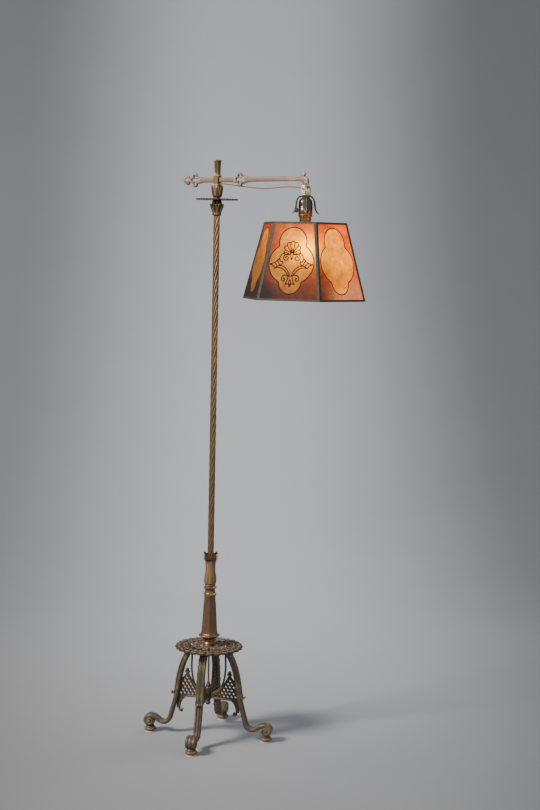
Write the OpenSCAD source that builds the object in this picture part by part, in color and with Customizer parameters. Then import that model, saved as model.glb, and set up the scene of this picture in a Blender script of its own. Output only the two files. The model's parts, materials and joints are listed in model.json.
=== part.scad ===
// Bridge-arm floor lamp with a four-legged cast base, a rope-twist pole and a six-panel mica shade.
// Millimetres, +Z up. The origin is on the floor, on the axis of the pole.

/* [Overall] */
// Height of the lamp, floor to finial tip
lamp_h = 1524; // [1380:1:1680]
// Reach of the arm, pole axis to socket axis
arm_reach = 293; // [250:1:340]
// Direction of the arm at rest, degrees from +X
arm_turn = -42; // [-90:1:90]

/* [Legs] */
// Direction of the first leg, degrees from +X
base_turn = -15; // [-45:1:45]
// Radius of the circle through the scroll feet
foot_r = 160; // [150:1:200]
// Width of each leg, across its curve
leg_w = 20; // [16:0.5:26]
// Thickness of each leg, in its curve
leg_t = 12; // [9:0.5:14]
// Width of each foot scroll
scroll_w = 28; // [22:0.5:34]
// Radius of each foot scroll
scroll_r = 19.5; // [16:0.5:21]
// Height of the legs, floor to the underside of the plate
leg_h = 243; // [230:1:300]
// Thickness of the pierced bracket web
web_t = 6; // [4:0.5:9]
// Width of the bars that edge the bracket web
web_bar = 4.5; // [3:0.25:6]
// Diameter of the holes in the bracket web
web_hole_d = 6; // [4:0.5:7]
// Spacing of the holes in the bracket web
web_pitch = 10.5; // [10:0.5:14]

/* [Feet] */
// Diameter of each bun foot
bun_d = 32; // [24:0.5:38]
// Height of each bun foot
bun_h = 9.5; // [7:0.25:11]
// Diameter of each felt pad
felt_d = 28; // [18:0.5:32]
// Thickness of each felt pad
felt_t = 3; // [2:0.25:4]

/* [Plate] */
// Outer diameter of the plate, over its lobes
plate_d = 180; // [170:1:220]
// Thickness of the plate
plate_t = 5; // [4:0.25:8]
// Number of lobes round the plate
plate_lobes = 24; // [16:4:32]
// Diameter of the tie rod under the plate
tie_rod_d = 5; // [4:0.25:8]
// Diameter of the hub that the brackets meet
hub_d = 17; // [15:0.5:24]

/* [Column] */
// Diameter of the round collar on the plate
collar_d = 34; // [30:0.5:40]
// Width of the octagonal flange, across corners
flange_d = 57; // [48:0.5:64]
// Width of the octagonal column at its bottom, across corners
column_bottom_d = 43; // [36:0.5:47]
// Width of the octagonal column at its top, across corners
column_top_d = 29; // [26:0.5:34]
// Length of the tapered part of the column
column_len = 103; // [90:1:120]
// Diameter of the brass ring on the column
ring_d = 34.5; // [31:0.5:38]
// Diameter of the vase at its bulge
vase_d = 33; // [30:0.5:38]
// Height of the vase, without its crown
vase_h = 68; // [60:1:80]
// Width of the square crown on the vase
crown_w = 37; // [34:0.5:42]
// Height of the crown
crown_h = 16; // [12:0.5:20]

/* [Pole] */
// Diameter of the rope-twist casing
pole_d = 16.6; // [15.5:0.1:19]
// Wall of the rope-twist casing
pole_wall = 1.2; // [0.8:0.1:1.5]
// Outer diameter of the steel pipe inside
pipe_d = 12.6; // [11:0.1:12.8]
// Bore of the steel pipe
pipe_bore = 9.2; // [8:0.1:9.6]
// Diameter of the wire inside the pole
wire_d = 5; // [3:0.25:6]
// Diameter of the gallery disc
gallery_d = 109.5; // [90:0.5:130]
// Tilt of the gallery disc, which sits slightly askew
gallery_tilt = 0.3; // [0:0.1:3]

/* [Arm] */
// Height of the arm's axis below the finial tip
arm_drop = 51; // [46:0.5:56]
// Height of the arm bar
bar_h = 12.5; // [10:0.25:15]
// Thickness of the arm bar
bar_t = 6.5; // [5:0.25:8]
// Distance of each quatrefoil from the pole axis
foil_u = 77; // [60:1:90]
// Radius of a quatrefoil, centre to lobe tip
foil_r = 18; // [16:0.5:20]
// Side of the square block on the pole
block_w = 15; // [14.5:0.25:19]
// Diameter of the swivel nipple under the block
nipple_d = 9.6; // [8:0.1:10]
// Radial clearance of each turning fit
turn_fit = 0.05; // [0.02:0.01:0.09]
// Side of the finial at its foot
finial_foot_w = 11; // [9:0.25:13]
// Side of the finial at its top
finial_top_w = 12; // [9:0.25:14]
// Diameter of the lead along the arm
lead_d = 3; // [2:0.25:4]

/* [Socket] */
// Width of the hickey loop
hickey_w = 23; // [20:0.5:26]
// Height of the hickey
hickey_h = 25; // [23:0.5:30]
// Diameter of the socket shell
shell_d = 35; // [33:0.5:38]
// Wall of the socket shell
shell_wall = 0.7; // [0.5:0.1:1]
// Diameter of the socket's neck
neck_d = 29.5; // [28.8:0.1:31]
// Width over the tips of the husk
husk_d = 72; // [60:1:80]
// Diameter of the bulb
bulb_d = 60; // [50:1:80]

/* [Shade] */
// Radius of the shade's top, axis to corner
shade_top_r = 105; // [90:1:120]
// Radius of the shade's bottom, axis to corner
shade_bottom_r = 157; // [130:1:180]
// Height of the shade
shade_h = 190; // [160:1:210]
// Direction of one shade corner, degrees from +X
shade_turn = -19; // [-30:1:30]
// Thickness of the mica
mica_t = 0.8; // [0.6:0.1:1.5]
// Thickness of the metal strips
strip_t = 0.7; // [0.5:0.1:1.2]
// Width of each seam strip on one panel
strip_w = 5.5; // [4:0.5:8]
// Height of the top and bottom rim strips
rim_h = 5; // [4:0.5:8]

/* [Hidden] */

$fn = 64;
slack = 0.1;
eps = 0.01;

// Colours
iron = [0.42, 0.38, 0.24];
bronze = [0.45, 0.33, 0.20];
dark_bronze = [0.24, 0.20, 0.15];
gold = [0.72, 0.58, 0.34];
brass = [0.78, 0.66, 0.42];
steel = [0.55, 0.56, 0.57];
black = [0.08, 0.08, 0.08];
mica = [0.85, 0.48, 0.20];

// Heights of the base, from the floor up
bun_z = felt_t;
scroll_z = felt_t + bun_h + scroll_r - 1;
plate_top = leg_h + plate_t;
collar_h = 18;
flange_z = plate_top + collar_h;
flange_h = 16;
column_z = flange_z + flange_h;
brass_ring_z = column_z + column_len;
brass_ring_h = 9;
knife_z = brass_ring_z + brass_ring_h;
knife_h = 20;
vase_z = knife_z + knife_h;
crown_z = vase_z + vase_h;

// Heights of the top, down from the finial tip
arm_z = lamp_h - arm_drop;
block_z = arm_z - 13;
block_h = 26;
spigot_h = 6.5;
spigot_d = 14;
upper_cup_h = 34.5;
upper_cup_z = block_z - 0.3 - upper_cup_h;
gallery_t = 2;
gallery_gap = 3.2;
lower_cup_h = 40;
lower_cup_z = upper_cup_z - gallery_gap - lower_cup_h;
casing_z = crown_z + 2;

// Where the socket hangs
hickey_top = arm_z - 16.4;
hickey_z = hickey_top - hickey_h;
husk_z = hickey_z - 2.5;
shade_top_z = hickey_z - 66;
shade_z = shade_top_z - shade_h;
shell_z = shade_top_z + 14;
shell_h = 29;
cap_h = 17;
cap_z = shell_z + shell_h;

// Holes through the stack
casing_bore = pole_d + 2 * slack;
pipe_hole = pipe_d + 2 * slack;
screw_d = 4;
pipe_end = leg_h - 9;

function arc(cx, cy, r, a0, a1, n) = [for (i = [0:n]) let (a = a0 + (a1 - a0) * i / n) [cx + r * cos(a), cy + r * sin(a)]];
function bezier(a, b, c, d, n) =
    [for (i = [0:n]) let (t = i / n, s = 1 - t) s * s * s * a + 3 * s * s * t * b + 3 * s * t * t * c + t * t * t * d];
// Curves joined end to end, each shared end point kept once
function chain(curves) = [for (k = [0:len(curves) - 1], i = [(k == 0 ? 0 : 1):len(curves[k]) - 1]) curves[k][i]];
function normal(p, i) =
    let (n = len(p), q = p[min(i + 1, n - 1)] - p[max(i - 1, 0)]) [-q[1], q[0]] / norm(q);
// A band of the given width along a line of points
function band(p, w) =
    concat([for (i = [0:len(p) - 1]) p[i] + normal(p, i) * w / 2],
           [for (i = [len(p) - 1:-1:0]) p[i] - normal(p, i) * w / 2]);

module at_leg(i) { rotate([0, 0, base_turn + 90 * i]) children(); }
module radial(w) { rotate([90, 0, 0]) linear_extrude(height = w, center = true) children(); }
module tube(d, bore, z, h) {
    translate([0, 0, z]) difference() {
        cylinder(d = d, h = h);
        translate([0, 0, -1]) cylinder(d = bore, h = h + 2);
    }
}
module bore(d, z, h) { translate([0, 0, z]) cylinder(d = d, h = h); }
module at_arm() { rotate([0, 0, arm_turn]) children(); }
module at_socket() { at_arm() translate([arm_reach, 0, 0]) children(); }

// ---- Legs ----
// The curve of a leg in its own upright plane: X is the distance from the pole axis.
leg_top_x = 46;
knee = [82, leg_h - 108];
ankle = [foot_r - 56, 44];
instep = [foot_r - 27, 33];
scroll_top = [foot_r, scroll_z + scroll_r - leg_t / 2];
leg_line = chain([
    bezier([leg_top_x, leg_h - 7], [leg_top_x + 22, leg_h - 30], [knee[0] - 5, knee[1] + 35], knee, 14),
    bezier(knee, knee + [3.5, -28], ankle + [-8, 32], ankle, 12),
    bezier(ankle, ankle + [6, -16], instep + [-9, -6], instep, 8),
    bezier(instep, instep + [6, 4], scroll_top + [-14, 0], scroll_top, 8),
]);
leaf_end = [foot_r - 63, 105];
strut_line = chain([
    [[leg_top_x, leg_h - 2], [leg_top_x, leg_h - 33]],
    bezier([leg_top_x, leg_h - 33], [leg_top_x + 3, leg_h - 65], [leg_top_x - 3, leg_h - 96], [34, leg_h - 108], 10),
    bezier([34, leg_h - 108], [26, leg_h - 117], [18, leg_h - 123], [hub_d / 2 + 1.2, leg_h - 125], 5),
]);
web_floor = leg_h - 138;
web_tip = [58, leg_h - 66];
curl = [foot_r - 84, 66];
arch_line = chain([
    [[hub_d / 2 + slack, web_floor + web_bar / 2], [34, web_floor + web_bar / 2]],
    bezier([34, web_floor + web_bar / 2], [58, web_floor + 3], [curl[0] - 1, web_floor + 2], curl + [3, 8], 10),
    [curl + [3, 8], curl + [1.5, 2]],
]);
// Inner and outer edge of the pierced web, as distances from the axis at each height above the web's floor
web_inner = [[0, 8], [10, 9], [18, 22], [28, 33], [38, 40], [48, 46], [60, 53], [70, 57]];
web_outer = [[-34, 84], [0, 84], [14, 82], [32, 78], [48, 72], [56, 64], [64, 60], [70, 58]];
web_rows = 6;
row_h = 9;

module web_outline() {
    polygon(concat([for (p = web_inner) [max(p[1], hub_d / 2 + slack), web_floor + p[0]]],
                   [for (i = [len(web_outer) - 1:-1:0]) [web_outer[i][1], web_floor + web_outer[i][0]]],
                   [[curl[0] + 4, curl[1] + 6], [curl[0], web_floor - 14], [curl[0] - 8, web_floor - 3]]));
}

module web_holes() {
    for (row = [0:web_rows - 1]) {
        y = web_hole_d / 2 + web_bar + 0.5 + row * row_h;
        first = lookup(y, web_inner) + web_hole_d / 2 + 3.2;
        last = lookup(y, web_outer) - web_hole_d / 2 - leg_t / 2 + 1.5;
        shift = (row % 2) * web_pitch / 2;
        for (x = [12 + shift:web_pitch:90])
            if (x > first && x < last) translate([x, web_floor + y]) circle(d = web_hole_d, $fn = 24);
    }
}

module leg(i) {
    color(iron) at_leg(i) difference() {
        union() {
            radial(leg_w) polygon(band(leg_line, leg_t));
            // Pad under the plate
            radial(leg_w) translate([leg_top_x - 12, leg_h - 9]) square([32, 9]);
            // Acanthus leaf laid over the upper half, with its curled tip
            radial(leg_w + 2) intersection() {
                polygon(band(leg_line, leg_t + 3));
                translate([0, leaf_end[1]]) square([foot_r, leg_h - 8 - leaf_end[1]]);
            }
            radial(leg_w - 4) translate([leaf_end[0] - 1, leaf_end[1]]) circle(d = 7);
            // Foot scroll and its raised eye
            radial(scroll_w) translate([foot_r, scroll_z]) circle(r = scroll_r);
            radial(scroll_w + 3) translate([foot_r, scroll_z]) circle(r = scroll_r / 3);
            // Pierced bracket web and its edging bars
            radial(web_t) difference() {
                web_outline();
                web_holes();
            }
            radial(web_t + 2) polygon(band(strut_line, web_bar));
            radial(web_t + 2) polygon(band(arch_line, web_bar));
            radial(web_t + 4) translate(curl) circle(d = 9);
            radial(web_t + 4) translate(web_tip) circle(d = 8);
        }
        translate([leg_top_x, 0, leg_h - 12]) cylinder(d = screw_d + slack, h = 20);
        translate([foot_r, 0, 0]) cylinder(d = screw_d + slack, h = scroll_z);
        translate([foot_r, 0, bun_z - 1]) cylinder(d = bun_d + 4, h = bun_h + 1);
    }
}

module bun_foot(i) {
    edge = bun_h / 2;
    color(bronze) at_leg(i) translate([foot_r, 0, bun_z]) difference() {
        rotate_extrude() polygon(concat([[0, 0]], arc(bun_d / 2 - edge, edge, edge, -90, 90, 12), [[0, bun_h]]));
        translate([0, 0, -1]) cylinder(d = screw_d + slack, h = bun_h + 2);
        translate([0, 0, -1]) cylinder(d = 8.4, h = 4.2);
    }
}

module felt_pad(i) { color("mistyrose") at_leg(i) translate([foot_r, 0, 0]) cylinder(d = felt_d, h = felt_t); }

module foot_screws() {
    color(steel) for (i = [0:3]) at_leg(i) translate([foot_r, 0, bun_z + 0.2]) {
        cylinder(d = 8, h = 3);
        cylinder(d = screw_d, h = bun_h + 8);
    }
}

// ---- Plate and hub ----
lobe_r = plate_d * PI / plate_lobes * 0.4;

module base_plate() {
    color(dark_bronze) difference() {
        union() {
            translate([0, 0, leg_h]) linear_extrude(height = plate_t) union() {
                circle(d = plate_d - lobe_r * 1.2);
                for (i = [0:plate_lobes - 1])
                    rotate(base_turn + 360 * i / plate_lobes) translate([plate_d / 2 - lobe_r, 0]) circle(r = lobe_r);
            }
            translate([0, 0, plate_top]) cylinder(d = collar_d + 10, h = 1.5);
        }
        bore(pipe_hole, leg_h - 1, plate_t + 4);
        translate([0, 0, plate_top]) cylinder(d = collar_d + slack, h = 3);
        for (i = [0:plate_lobes - 1])
            rotate([0, 0, base_turn + 360 * (i + 0.5) / plate_lobes]) translate([plate_d / 2 - 15, 0, leg_h - 1])
                cylinder(d = 7, h = plate_t + 2);
        for (i = [0:11]) rotate([0, 0, base_turn + 30 * i + 15]) {
            translate([plate_d * 0.31, 0, leg_h - 1]) cylinder(d = 15, h = plate_t + 2);
            translate([plate_d * 0.2, 0, leg_h - 1]) cylinder(d = 8, h = plate_t + 2);
        }
        for (i = [0:3]) at_leg(i) {
            translate([leg_top_x, 0, leg_h - 1]) cylinder(d = screw_d + slack, h = plate_t + 2);
        }
    }
}

module leg_screws() {
    color(steel) for (i = [0:3]) at_leg(i) translate([leg_top_x, 0, 0]) {
        translate([0, 0, leg_h - 8]) cylinder(d = screw_d, h = plate_t + 8);
        translate([0, 0, plate_top]) cylinder(d1 = 8, d2 = 5, h = 2);
    }
}

hub_top = leg_h - 94;
hub_bottom = web_floor - 1;

module tie_rod() {
    color(bronze) translate([0, 0, hub_bottom - 8]) cylinder(d = tie_rod_d, h = pipe_end - hub_bottom + 6);
}

module bracket_hub() {
    color(dark_bronze) difference() {
        translate([0, 0, hub_bottom]) rotate_extrude() polygon([
            [0, 0], [hub_d / 2, 0], [hub_d / 2, 30], [hub_d / 2 - 2, 33], [hub_d / 2 - 2, 37],
            [hub_d / 2 - 4.5, 41], [tie_rod_d / 2 + 1.5, hub_top - hub_bottom], [0, hub_top - hub_bottom]]);
        bore(tie_rod_d + slack, hub_bottom - 1, hub_top - hub_bottom + 2);
    }
}

module hub_drop() {
    drop_h = 17;
    color(dark_bronze) difference() {
        translate([0, 0, hub_bottom - drop_h]) rotate_extrude() polygon(concat(
            [[0, 0]], arc(0, 7, 7, -90, 0, 8), [[5, 11], [hub_d / 2 - 1, 14], [hub_d / 2 - 1, drop_h], [0, drop_h]]));
        bore(tie_rod_d + slack, hub_bottom - 8.2, 10);
    }
}

// ---- Column ----
module column_collar() {
    color(bronze) difference() {
        translate([0, 0, plate_top]) rotate_extrude() polygon([
            [pipe_hole / 2, 0], [collar_d / 2, 0], [collar_d / 2, 8], [collar_d / 2 - 1.5, 11],
            [collar_d / 2 - 3.5, 13], [collar_d / 2 - 3.5, collar_h], [pipe_hole / 2, collar_h]]);
        // Notch where the supply cord would leave
        rotate([0, 0, -60]) translate([pipe_hole / 2 + 3, 0, plate_top + 5]) rotate([0, 90, 0])
            cylinder(d = 6 + slack, h = collar_d);
    }
}

module cord_bushing() {
    color(black) rotate([0, 0, -60]) translate([pipe_hole / 2 + 3, 0, plate_top + 5]) rotate([0, 90, 0]) difference() {
        cylinder(d = 6, h = collar_d / 2 - pipe_hole / 2 - 2.4);
        translate([0, 0, 1.5]) cylinder(d = 4, h = collar_d);
    }
}

module octagonal_column() {
    color(bronze) difference() {
        union() {
            translate([0, 0, flange_z]) cylinder(d1 = collar_d - 4, d2 = flange_d, h = 9, $fn = 8);
            translate([0, 0, flange_z + 9]) cylinder(d = flange_d, h = 2.5, $fn = 8);
            translate([0, 0, flange_z + 11.5]) cylinder(d1 = flange_d, d2 = column_bottom_d, h = 4.5, $fn = 8);
            translate([0, 0, column_z]) cylinder(d1 = column_bottom_d, d2 = column_top_d, h = column_len, $fn = 8);
        }
        bore(pipe_hole, flange_z - 1, flange_h + column_len + 2);
    }
}

module brass_ring() {
    color(brass) translate([0, 0, brass_ring_z]) difference() {
        rotate_extrude() polygon(concat(
            [[pipe_hole / 2, 0], [ring_d / 2 - 3, 0]], arc(ring_d / 2 - 3, 3, 3, -90, 90, 10),
            [[ring_d / 2 - 3.5, 7], [ring_d / 2 - 3.5, brass_ring_h], [pipe_hole / 2, brass_ring_h]]));
    }
}

module knife_ring() {
    color(dark_bronze) translate([0, 0, knife_z]) rotate_extrude() polygon([
        [pipe_hole / 2, 0], [13.6, 0], [13.6, 8], [ring_d / 2 + 0.5, 11], [ring_d / 2 + 0.5, 12.5],
        [13.6, 16], [13.6, knife_h], [pipe_hole / 2, knife_h]]);
}

module leaf_vase() {
    notch = crown_h * 0.55;
    waist = vase_d / 2 - 3;
    color(bronze) difference() {
        union() {
            translate([0, 0, vase_z]) rotate_extrude() polygon([
                [0, 0], [vase_d / 2 - 2, 0], [vase_d / 2 - 0.5, 4], [vase_d / 2, 12], [vase_d / 2 - 0.5, 22],
                [waist, 32], [waist - 0.2, 45], [waist + 1, 58], [waist + 3, vase_h], [0, vase_h]]);
            // Square crown with a V cut in each side
            difference() {
                translate([0, 0, crown_z]) linear_extrude(height = crown_h) square(crown_w, center = true);
                for (a = [0, 90]) rotate([0, 0, a]) translate([0, 0, crown_z + crown_h - notch])
                    rotate([90, 0, 0]) linear_extrude(height = crown_w * 2, center = true)
                        polygon([[0, 0], [crown_w / 2 - 4, notch + eps], [4 - crown_w / 2, notch + eps]]);
                bore(crown_w - 8, crown_z + 4, crown_h);
            }
        }
        bore(pipe_hole, vase_z - 1, vase_h + 4);
        bore(casing_bore, casing_z - slack, crown_h);
    }
}

// ---- Pole ----
// A rope-twist casing over a plain steel pipe
module rope_casing() { color(bronze) tube(pole_d, pole_d - 2 * pole_wall, casing_z, lower_cup_z + 12 - casing_z); }

module steel_pipe() { color(steel) tube(pipe_d, pipe_bore, pipe_end, upper_cup_z + 8 - pipe_end); }

module pole_wire() { color("saddlebrown") bore(wire_d, plate_top + 4, upper_cup_z + 4 - plate_top); }

module pipe_locknut() {
    nut_h = 6;
    color(steel) difference() {
        translate([0, 0, leg_h - nut_h]) cylinder(d = pipe_d + 10, h = nut_h, $fn = 6);
        bore(pipe_hole, leg_h - nut_h - 1, nut_h + 2);
    }
}

module lower_leaf_cup() {
    color(bronze) difference() {
        translate([0, 0, lower_cup_z]) rotate_extrude() polygon([
            [0, 0], [11, 0], [12.2, 2], [12, 10], [13.5, 15], [17.7, 22], [17.7, 24], [15, 27],
            [14.5, 32], [14.5, 36], [11, lower_cup_h], [0, lower_cup_h]]);
        bore(casing_bore, lower_cup_z - 1, 13 + slack);
        bore(pipe_hole, lower_cup_z, lower_cup_h + 1);
    }
}

module gallery_disc() {
    beads = 24;
    color(dark_bronze) translate([0, 0, lower_cup_z + lower_cup_h + gallery_gap / 2]) rotate([0, gallery_tilt, 0])
        translate([0, 0, -gallery_t / 2]) linear_extrude(height = gallery_t) difference() {
            union() {
                circle(d = gallery_d - 6);
                for (i = [0:beads - 1]) rotate(360 * i / beads) translate([gallery_d / 2 - 5.5, 0]) circle(d = 11);
            }
            circle(d = pipe_d + 2);
            for (i = [0:beads - 1]) rotate(360 * i / beads) translate([gallery_d / 2 - 6, 0]) circle(d = 5);
            for (i = [0:11]) rotate(30 * i) translate([gallery_d * 0.29, 0]) circle(d = 10);
        }
}

module upper_leaf_cup() {
    color(bronze) difference() {
        translate([0, 0, upper_cup_z]) rotate_extrude() polygon([
            [0, 0], [9.4, 0], [9.4, 3], [12, 7], [13.2, 14], [15, 25], [14.6, 30], [13.8, upper_cup_h], [0, upper_cup_h]]);
        bore(pipe_hole, upper_cup_z - 1, 9 + slack);
        bore(nipple_d, upper_cup_z + 8, upper_cup_h);
        // Counterbore that the arm's spigot turns in
        bore(spigot_d + 1, upper_cup_z + upper_cup_h - spigot_h, spigot_h + 1);
    }
}

nipple_wall = 1.5;
lead_port_d = lead_d + 1.6;
lead_port_z = arm_z - 9.7;
nipple_top = lead_port_z - lead_port_d / 2 - 0.3;

module swivel_nipple() {
    foot = upper_cup_z + 8 + slack;
    color(steel) tube(nipple_d, nipple_d - 2 * nipple_wall, foot, nipple_top - foot);
}

// ---- Arm ----
module quatrefoil(r) {
    lobe = r * 0.47;
    difference() {
        union() {
            for (a = [0:90:270]) rotate(a) translate([r - lobe, 0]) circle(r = lobe);
            rotate(45) square(r * 1.15, center = true);
        }
        for (a = [0:90:270]) rotate(a) translate([r * 0.45, 0]) circle(r = lobe * 0.52);
        circle(r = r * 0.32);
    }
}

tail_r = 12;
tail_u = -foil_u - foil_r - tail_r * 0.75;
curl_h = 13;
eye_z = hickey_top + 0.3;

module arm_outline() {
    // Bar between the quatrefoils and out to the end
    translate([-foil_u + foil_r * 0.8, -bar_h / 2]) square([2 * (foil_u - foil_r * 0.8), bar_h]);
    translate([foil_u + foil_r * 0.8, -bar_h / 2]) square([arm_reach - foil_u - foil_r * 0.8 - 8, bar_h]);
    for (u = [-foil_u, foil_u]) translate([u, 0]) quatrefoil(foil_r);
    // Gussets that flare from the outer quatrefoil into the bar
    polygon([[foil_u + foil_r * 0.7, foil_r * 0.62], [foil_u + foil_r * 1.3, bar_h / 2 + 1.5],
        [foil_u + foil_r * 2.1, bar_h / 2 - eps], [foil_u + foil_r * 2.1, eps - bar_h / 2],
        [foil_u + foil_r * 1.3, -bar_h / 2 - 1.5], [foil_u + foil_r * 0.7, -foil_r * 0.62]]);
    // Trefoil tail
    for (a = [90, 180, 270]) translate([tail_u, 0]) rotate(a) translate([tail_r * 0.45, 0]) circle(r = tail_r * 0.55);
    translate([tail_u + tail_r * 0.5, 0]) circle(r = tail_r * 0.6);
    // Leaf curl that rises at the end
    polygon(concat([[arm_reach - 22, bar_h / 2 - 1]],
        bezier([arm_reach - 22, bar_h / 2 - eps], [arm_reach - 14, bar_h / 2], [arm_reach - 12, bar_h / 2 + 4],
               [arm_reach - 13, curl_h - 3], 6),
        arc(arm_reach - 8, curl_h - 2.5, 5, 170, -60, 10),
        [[arm_reach - 5, bar_h / 2 - 2]]));
    // Foot that carries the hickey
    polygon([[arm_reach - 20, -bar_h / 2 + eps], [arm_reach - 12, 4 - bar_h], [arm_reach - 9, eye_z - arm_z],
        [arm_reach + 7, eye_z - arm_z], [arm_reach + 7, 3 - bar_h / 2], [arm_reach, bar_h / 2 - 3],
        [arm_reach - 8.1, bar_h / 2 - 1]]);
}

module arm() {
    color(gold) at_arm() difference() {
        union() {
            translate([0, 0, arm_z]) rotate([90, 0, 0]) linear_extrude(height = bar_t, center = true) arm_outline();
            translate([-block_w / 2, -block_w / 2, block_z]) cube([block_w, block_w, block_h]);
            bore(spigot_d, block_z - spigot_h + 0.5, spigot_h);
            translate([arm_reach, 0, eye_z]) cylinder(d = 12, h = 6);
        }
        bore(nipple_d + 2 * turn_fit, block_z - spigot_h, lead_port_z + lead_port_d / 2 - block_z + spigot_h);
        bore(6, block_z + block_h - 5, 6);
        translate([0, 0, lead_port_z]) rotate([0, 90, 0]) cylinder(d = lead_port_d, h = block_w);
        translate([arm_reach, 0, eye_z - 1]) cylinder(d = screw_d, h = 8);
    }
}

module finial() {
    finial_z = block_z + block_h;
    finial_h = lamp_h - finial_z;
    color(dark_bronze) at_arm() union() {
        translate([0, 0, finial_z]) linear_extrude(height = finial_h * 0.5) square(finial_foot_w, center = true);
        translate([0, 0, finial_z + finial_h * 0.5]) linear_extrude(height = finial_h * 0.5) square(finial_top_w, center = true);
        translate([0, 0, finial_z - 4.5]) cylinder(d = 6 - slack, h = 5);
    }
}

module lead_bushing() {
    color(black) at_arm() translate([block_w / 2 - 2, 0, lead_port_z]) rotate([0, 90, 0]) difference() {
        cylinder(d = lead_port_d - slack, h = 3);
        translate([0, 0, -1]) cylinder(d = lead_d + slack, h = 5);
    }
}

// Route of the lead in the arm's upright plane: along the arm, sideways, height above the arm's axis.
lead_route = [
    [5, 0, -9.7], [14, 0, -9.7], [28, 1.5, -10.6], [44, 4, -12.2], [60, 5.5, -14.2], [77, 6, -16.2], [94, 5.5, -18],
    [112, 3.5, -19.8], [130, 1.5, -21.4], [148, 0, -22.8], [167, 0, -23.4], [188, 0, -22.2], [210, 0, -20.4],
    [230, 0, -19.8], [250, 0, -20], [264, 0, -21], [274, 0, -22.6], [281, 0, -24.8], [287, 0, -28], [291, 0, -32],
    [293, 0, -36.4], [293, 0, -40.5],
];
lead_sides = 8;
lead_end = lead_route[len(lead_route) - 1];
lead_stretch = arm_reach / lead_end[0];

function unit(v) = v / norm(v);
function lead_point(i) = [lead_route[i][0] * lead_stretch, lead_route[i][1], lead_route[i][2]];
function lead_ring(i) =
    let (n = len(lead_route), d = unit(lead_point(min(i + 1, n - 1)) - lead_point(max(i - 1, 0))),
         side = unit(cross(d, [0, 1, 0])), other = cross(d, side))
    [for (k = [0:lead_sides - 1]) lead_point(i)
        + side * lead_d / 2 * cos(360 * k / lead_sides) + other * lead_d / 2 * sin(360 * k / lead_sides)];

module arm_lead() {
    rings = len(lead_route);
    points = [for (i = [0:rings - 1]) each lead_ring(i)];
    walls = [for (i = [0:rings - 2], k = [0:lead_sides - 1]) let (a = i * lead_sides, m = (k + 1) % lead_sides)
        [a + k, a + m, a + lead_sides + m, a + lead_sides + k]];
    caps = [[for (k = [lead_sides - 1:-1:0]) k], [for (k = [0:lead_sides - 1]) (rings - 1) * lead_sides + k]];
    color("sienna") at_arm() translate([0, 0, arm_z]) polyhedron(points = points, faces = concat(walls, caps));
}

// ---- Hickey and socket ----
bridge_t = 3;

module hickey_screw() {
    color(steel) at_socket() {
        translate([0, 0, hickey_top - bridge_t - 2.3]) cylinder(d = 8, h = 2);
        translate([0, 0, hickey_top - bridge_t - 1]) cylinder(d = screw_d, h = bridge_t + 7);
    }
}

module hickey() {
    cheek_t = 2.5;
    cheek_depth = 13;
    eye_d = 8;
    color(brass) at_socket() difference() {
        union() {
            for (z = [hickey_z, hickey_top - bridge_t]) {
                translate([0, 0, z]) cylinder(d = hickey_w - 6, h = bridge_t);
                translate([-4.5, 1 - hickey_w / 2, z]) cube([9, hickey_w - 2, bridge_t]);
            }
            for (s = [-1, 1])
                translate([-cheek_depth / 2, s * (hickey_w - cheek_t) / 2 - cheek_t / 2, hickey_z])
                    cube([cheek_depth, cheek_t, hickey_h]);
        }
        // Round eye through both cheeks
        translate([0, 0, hickey_z + hickey_h * 0.6]) rotate([90, 0, 0]) cylinder(d = eye_d, h = hickey_w + 2, center = true);
        bore(screw_d + 2 * turn_fit, hickey_top - bridge_t - 1, bridge_t + 2);
        bore(nipple_d, hickey_z - 1, bridge_t + 2);
    }
}

module socket_nipple() {
    color(steel) at_socket() tube(nipple_d, nipple_d - 2 * nipple_wall, cap_z + cap_h - 4, hickey_z + bridge_t + 1.5 - cap_z - cap_h + 4);
}

// A husk of four leaves that hang round the socket
module husk() {
    leaf_t = 1.6;
    leaf = bezier([5, husk_z + 1.4], [shell_d / 2 + 5, husk_z + 2], [shell_d / 2 + 6, husk_z - 12],
                  [shell_d / 2 + 7, husk_z - 24], 10);
    tip = bezier([shell_d / 2 + 7, husk_z - 24], [shell_d / 2 + 8, husk_z - 32], [husk_d / 2 - 7, husk_z - 38],
                 [husk_d / 2 - 1, husk_z - 43], 6);
    color(dark_bronze) at_socket() difference() {
        for (a = [45:90:315]) rotate([0, 0, a]) intersection() {
            radial(20) polygon(band(chain([leaf, tip]), leaf_t));
            // Leaf shape seen from outside: narrow at the top, full in the middle, pointed at the tip
            rotate([90, 0, 90]) linear_extrude(height = husk_d) polygon([
                [-6, husk_z + 4], [6, husk_z + 4], [7.5, husk_z - 12], [8.4, husk_z - 22], [6, husk_z - 34],
                [1, husk_z - 46], [-1, husk_z - 46], [-6, husk_z - 34], [-8.4, husk_z - 22], [-7.5, husk_z - 12]]);
        }
        bore(nipple_d, husk_z - 20, 40);
    }
}

module socket_cap() {
    r = shell_d / 2 - 0.6;
    color(brass) at_socket() translate([0, 0, cap_z]) rotate_extrude() polygon(concat(
        [[r, 0]], arc(r - 9, cap_h - 9, 9, 0, 90, 8), [[nipple_d / 2, cap_h]],
        [[nipple_d / 2, cap_h - shell_wall * 2]], arc(r - 9, cap_h - 9, 9 - shell_wall * 2, 90, 0, 8),
        [[r - shell_wall * 2, 0]]));
}

key_z = shell_z + 16;
base_d = 26;
thread_h = 0.9;

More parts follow.
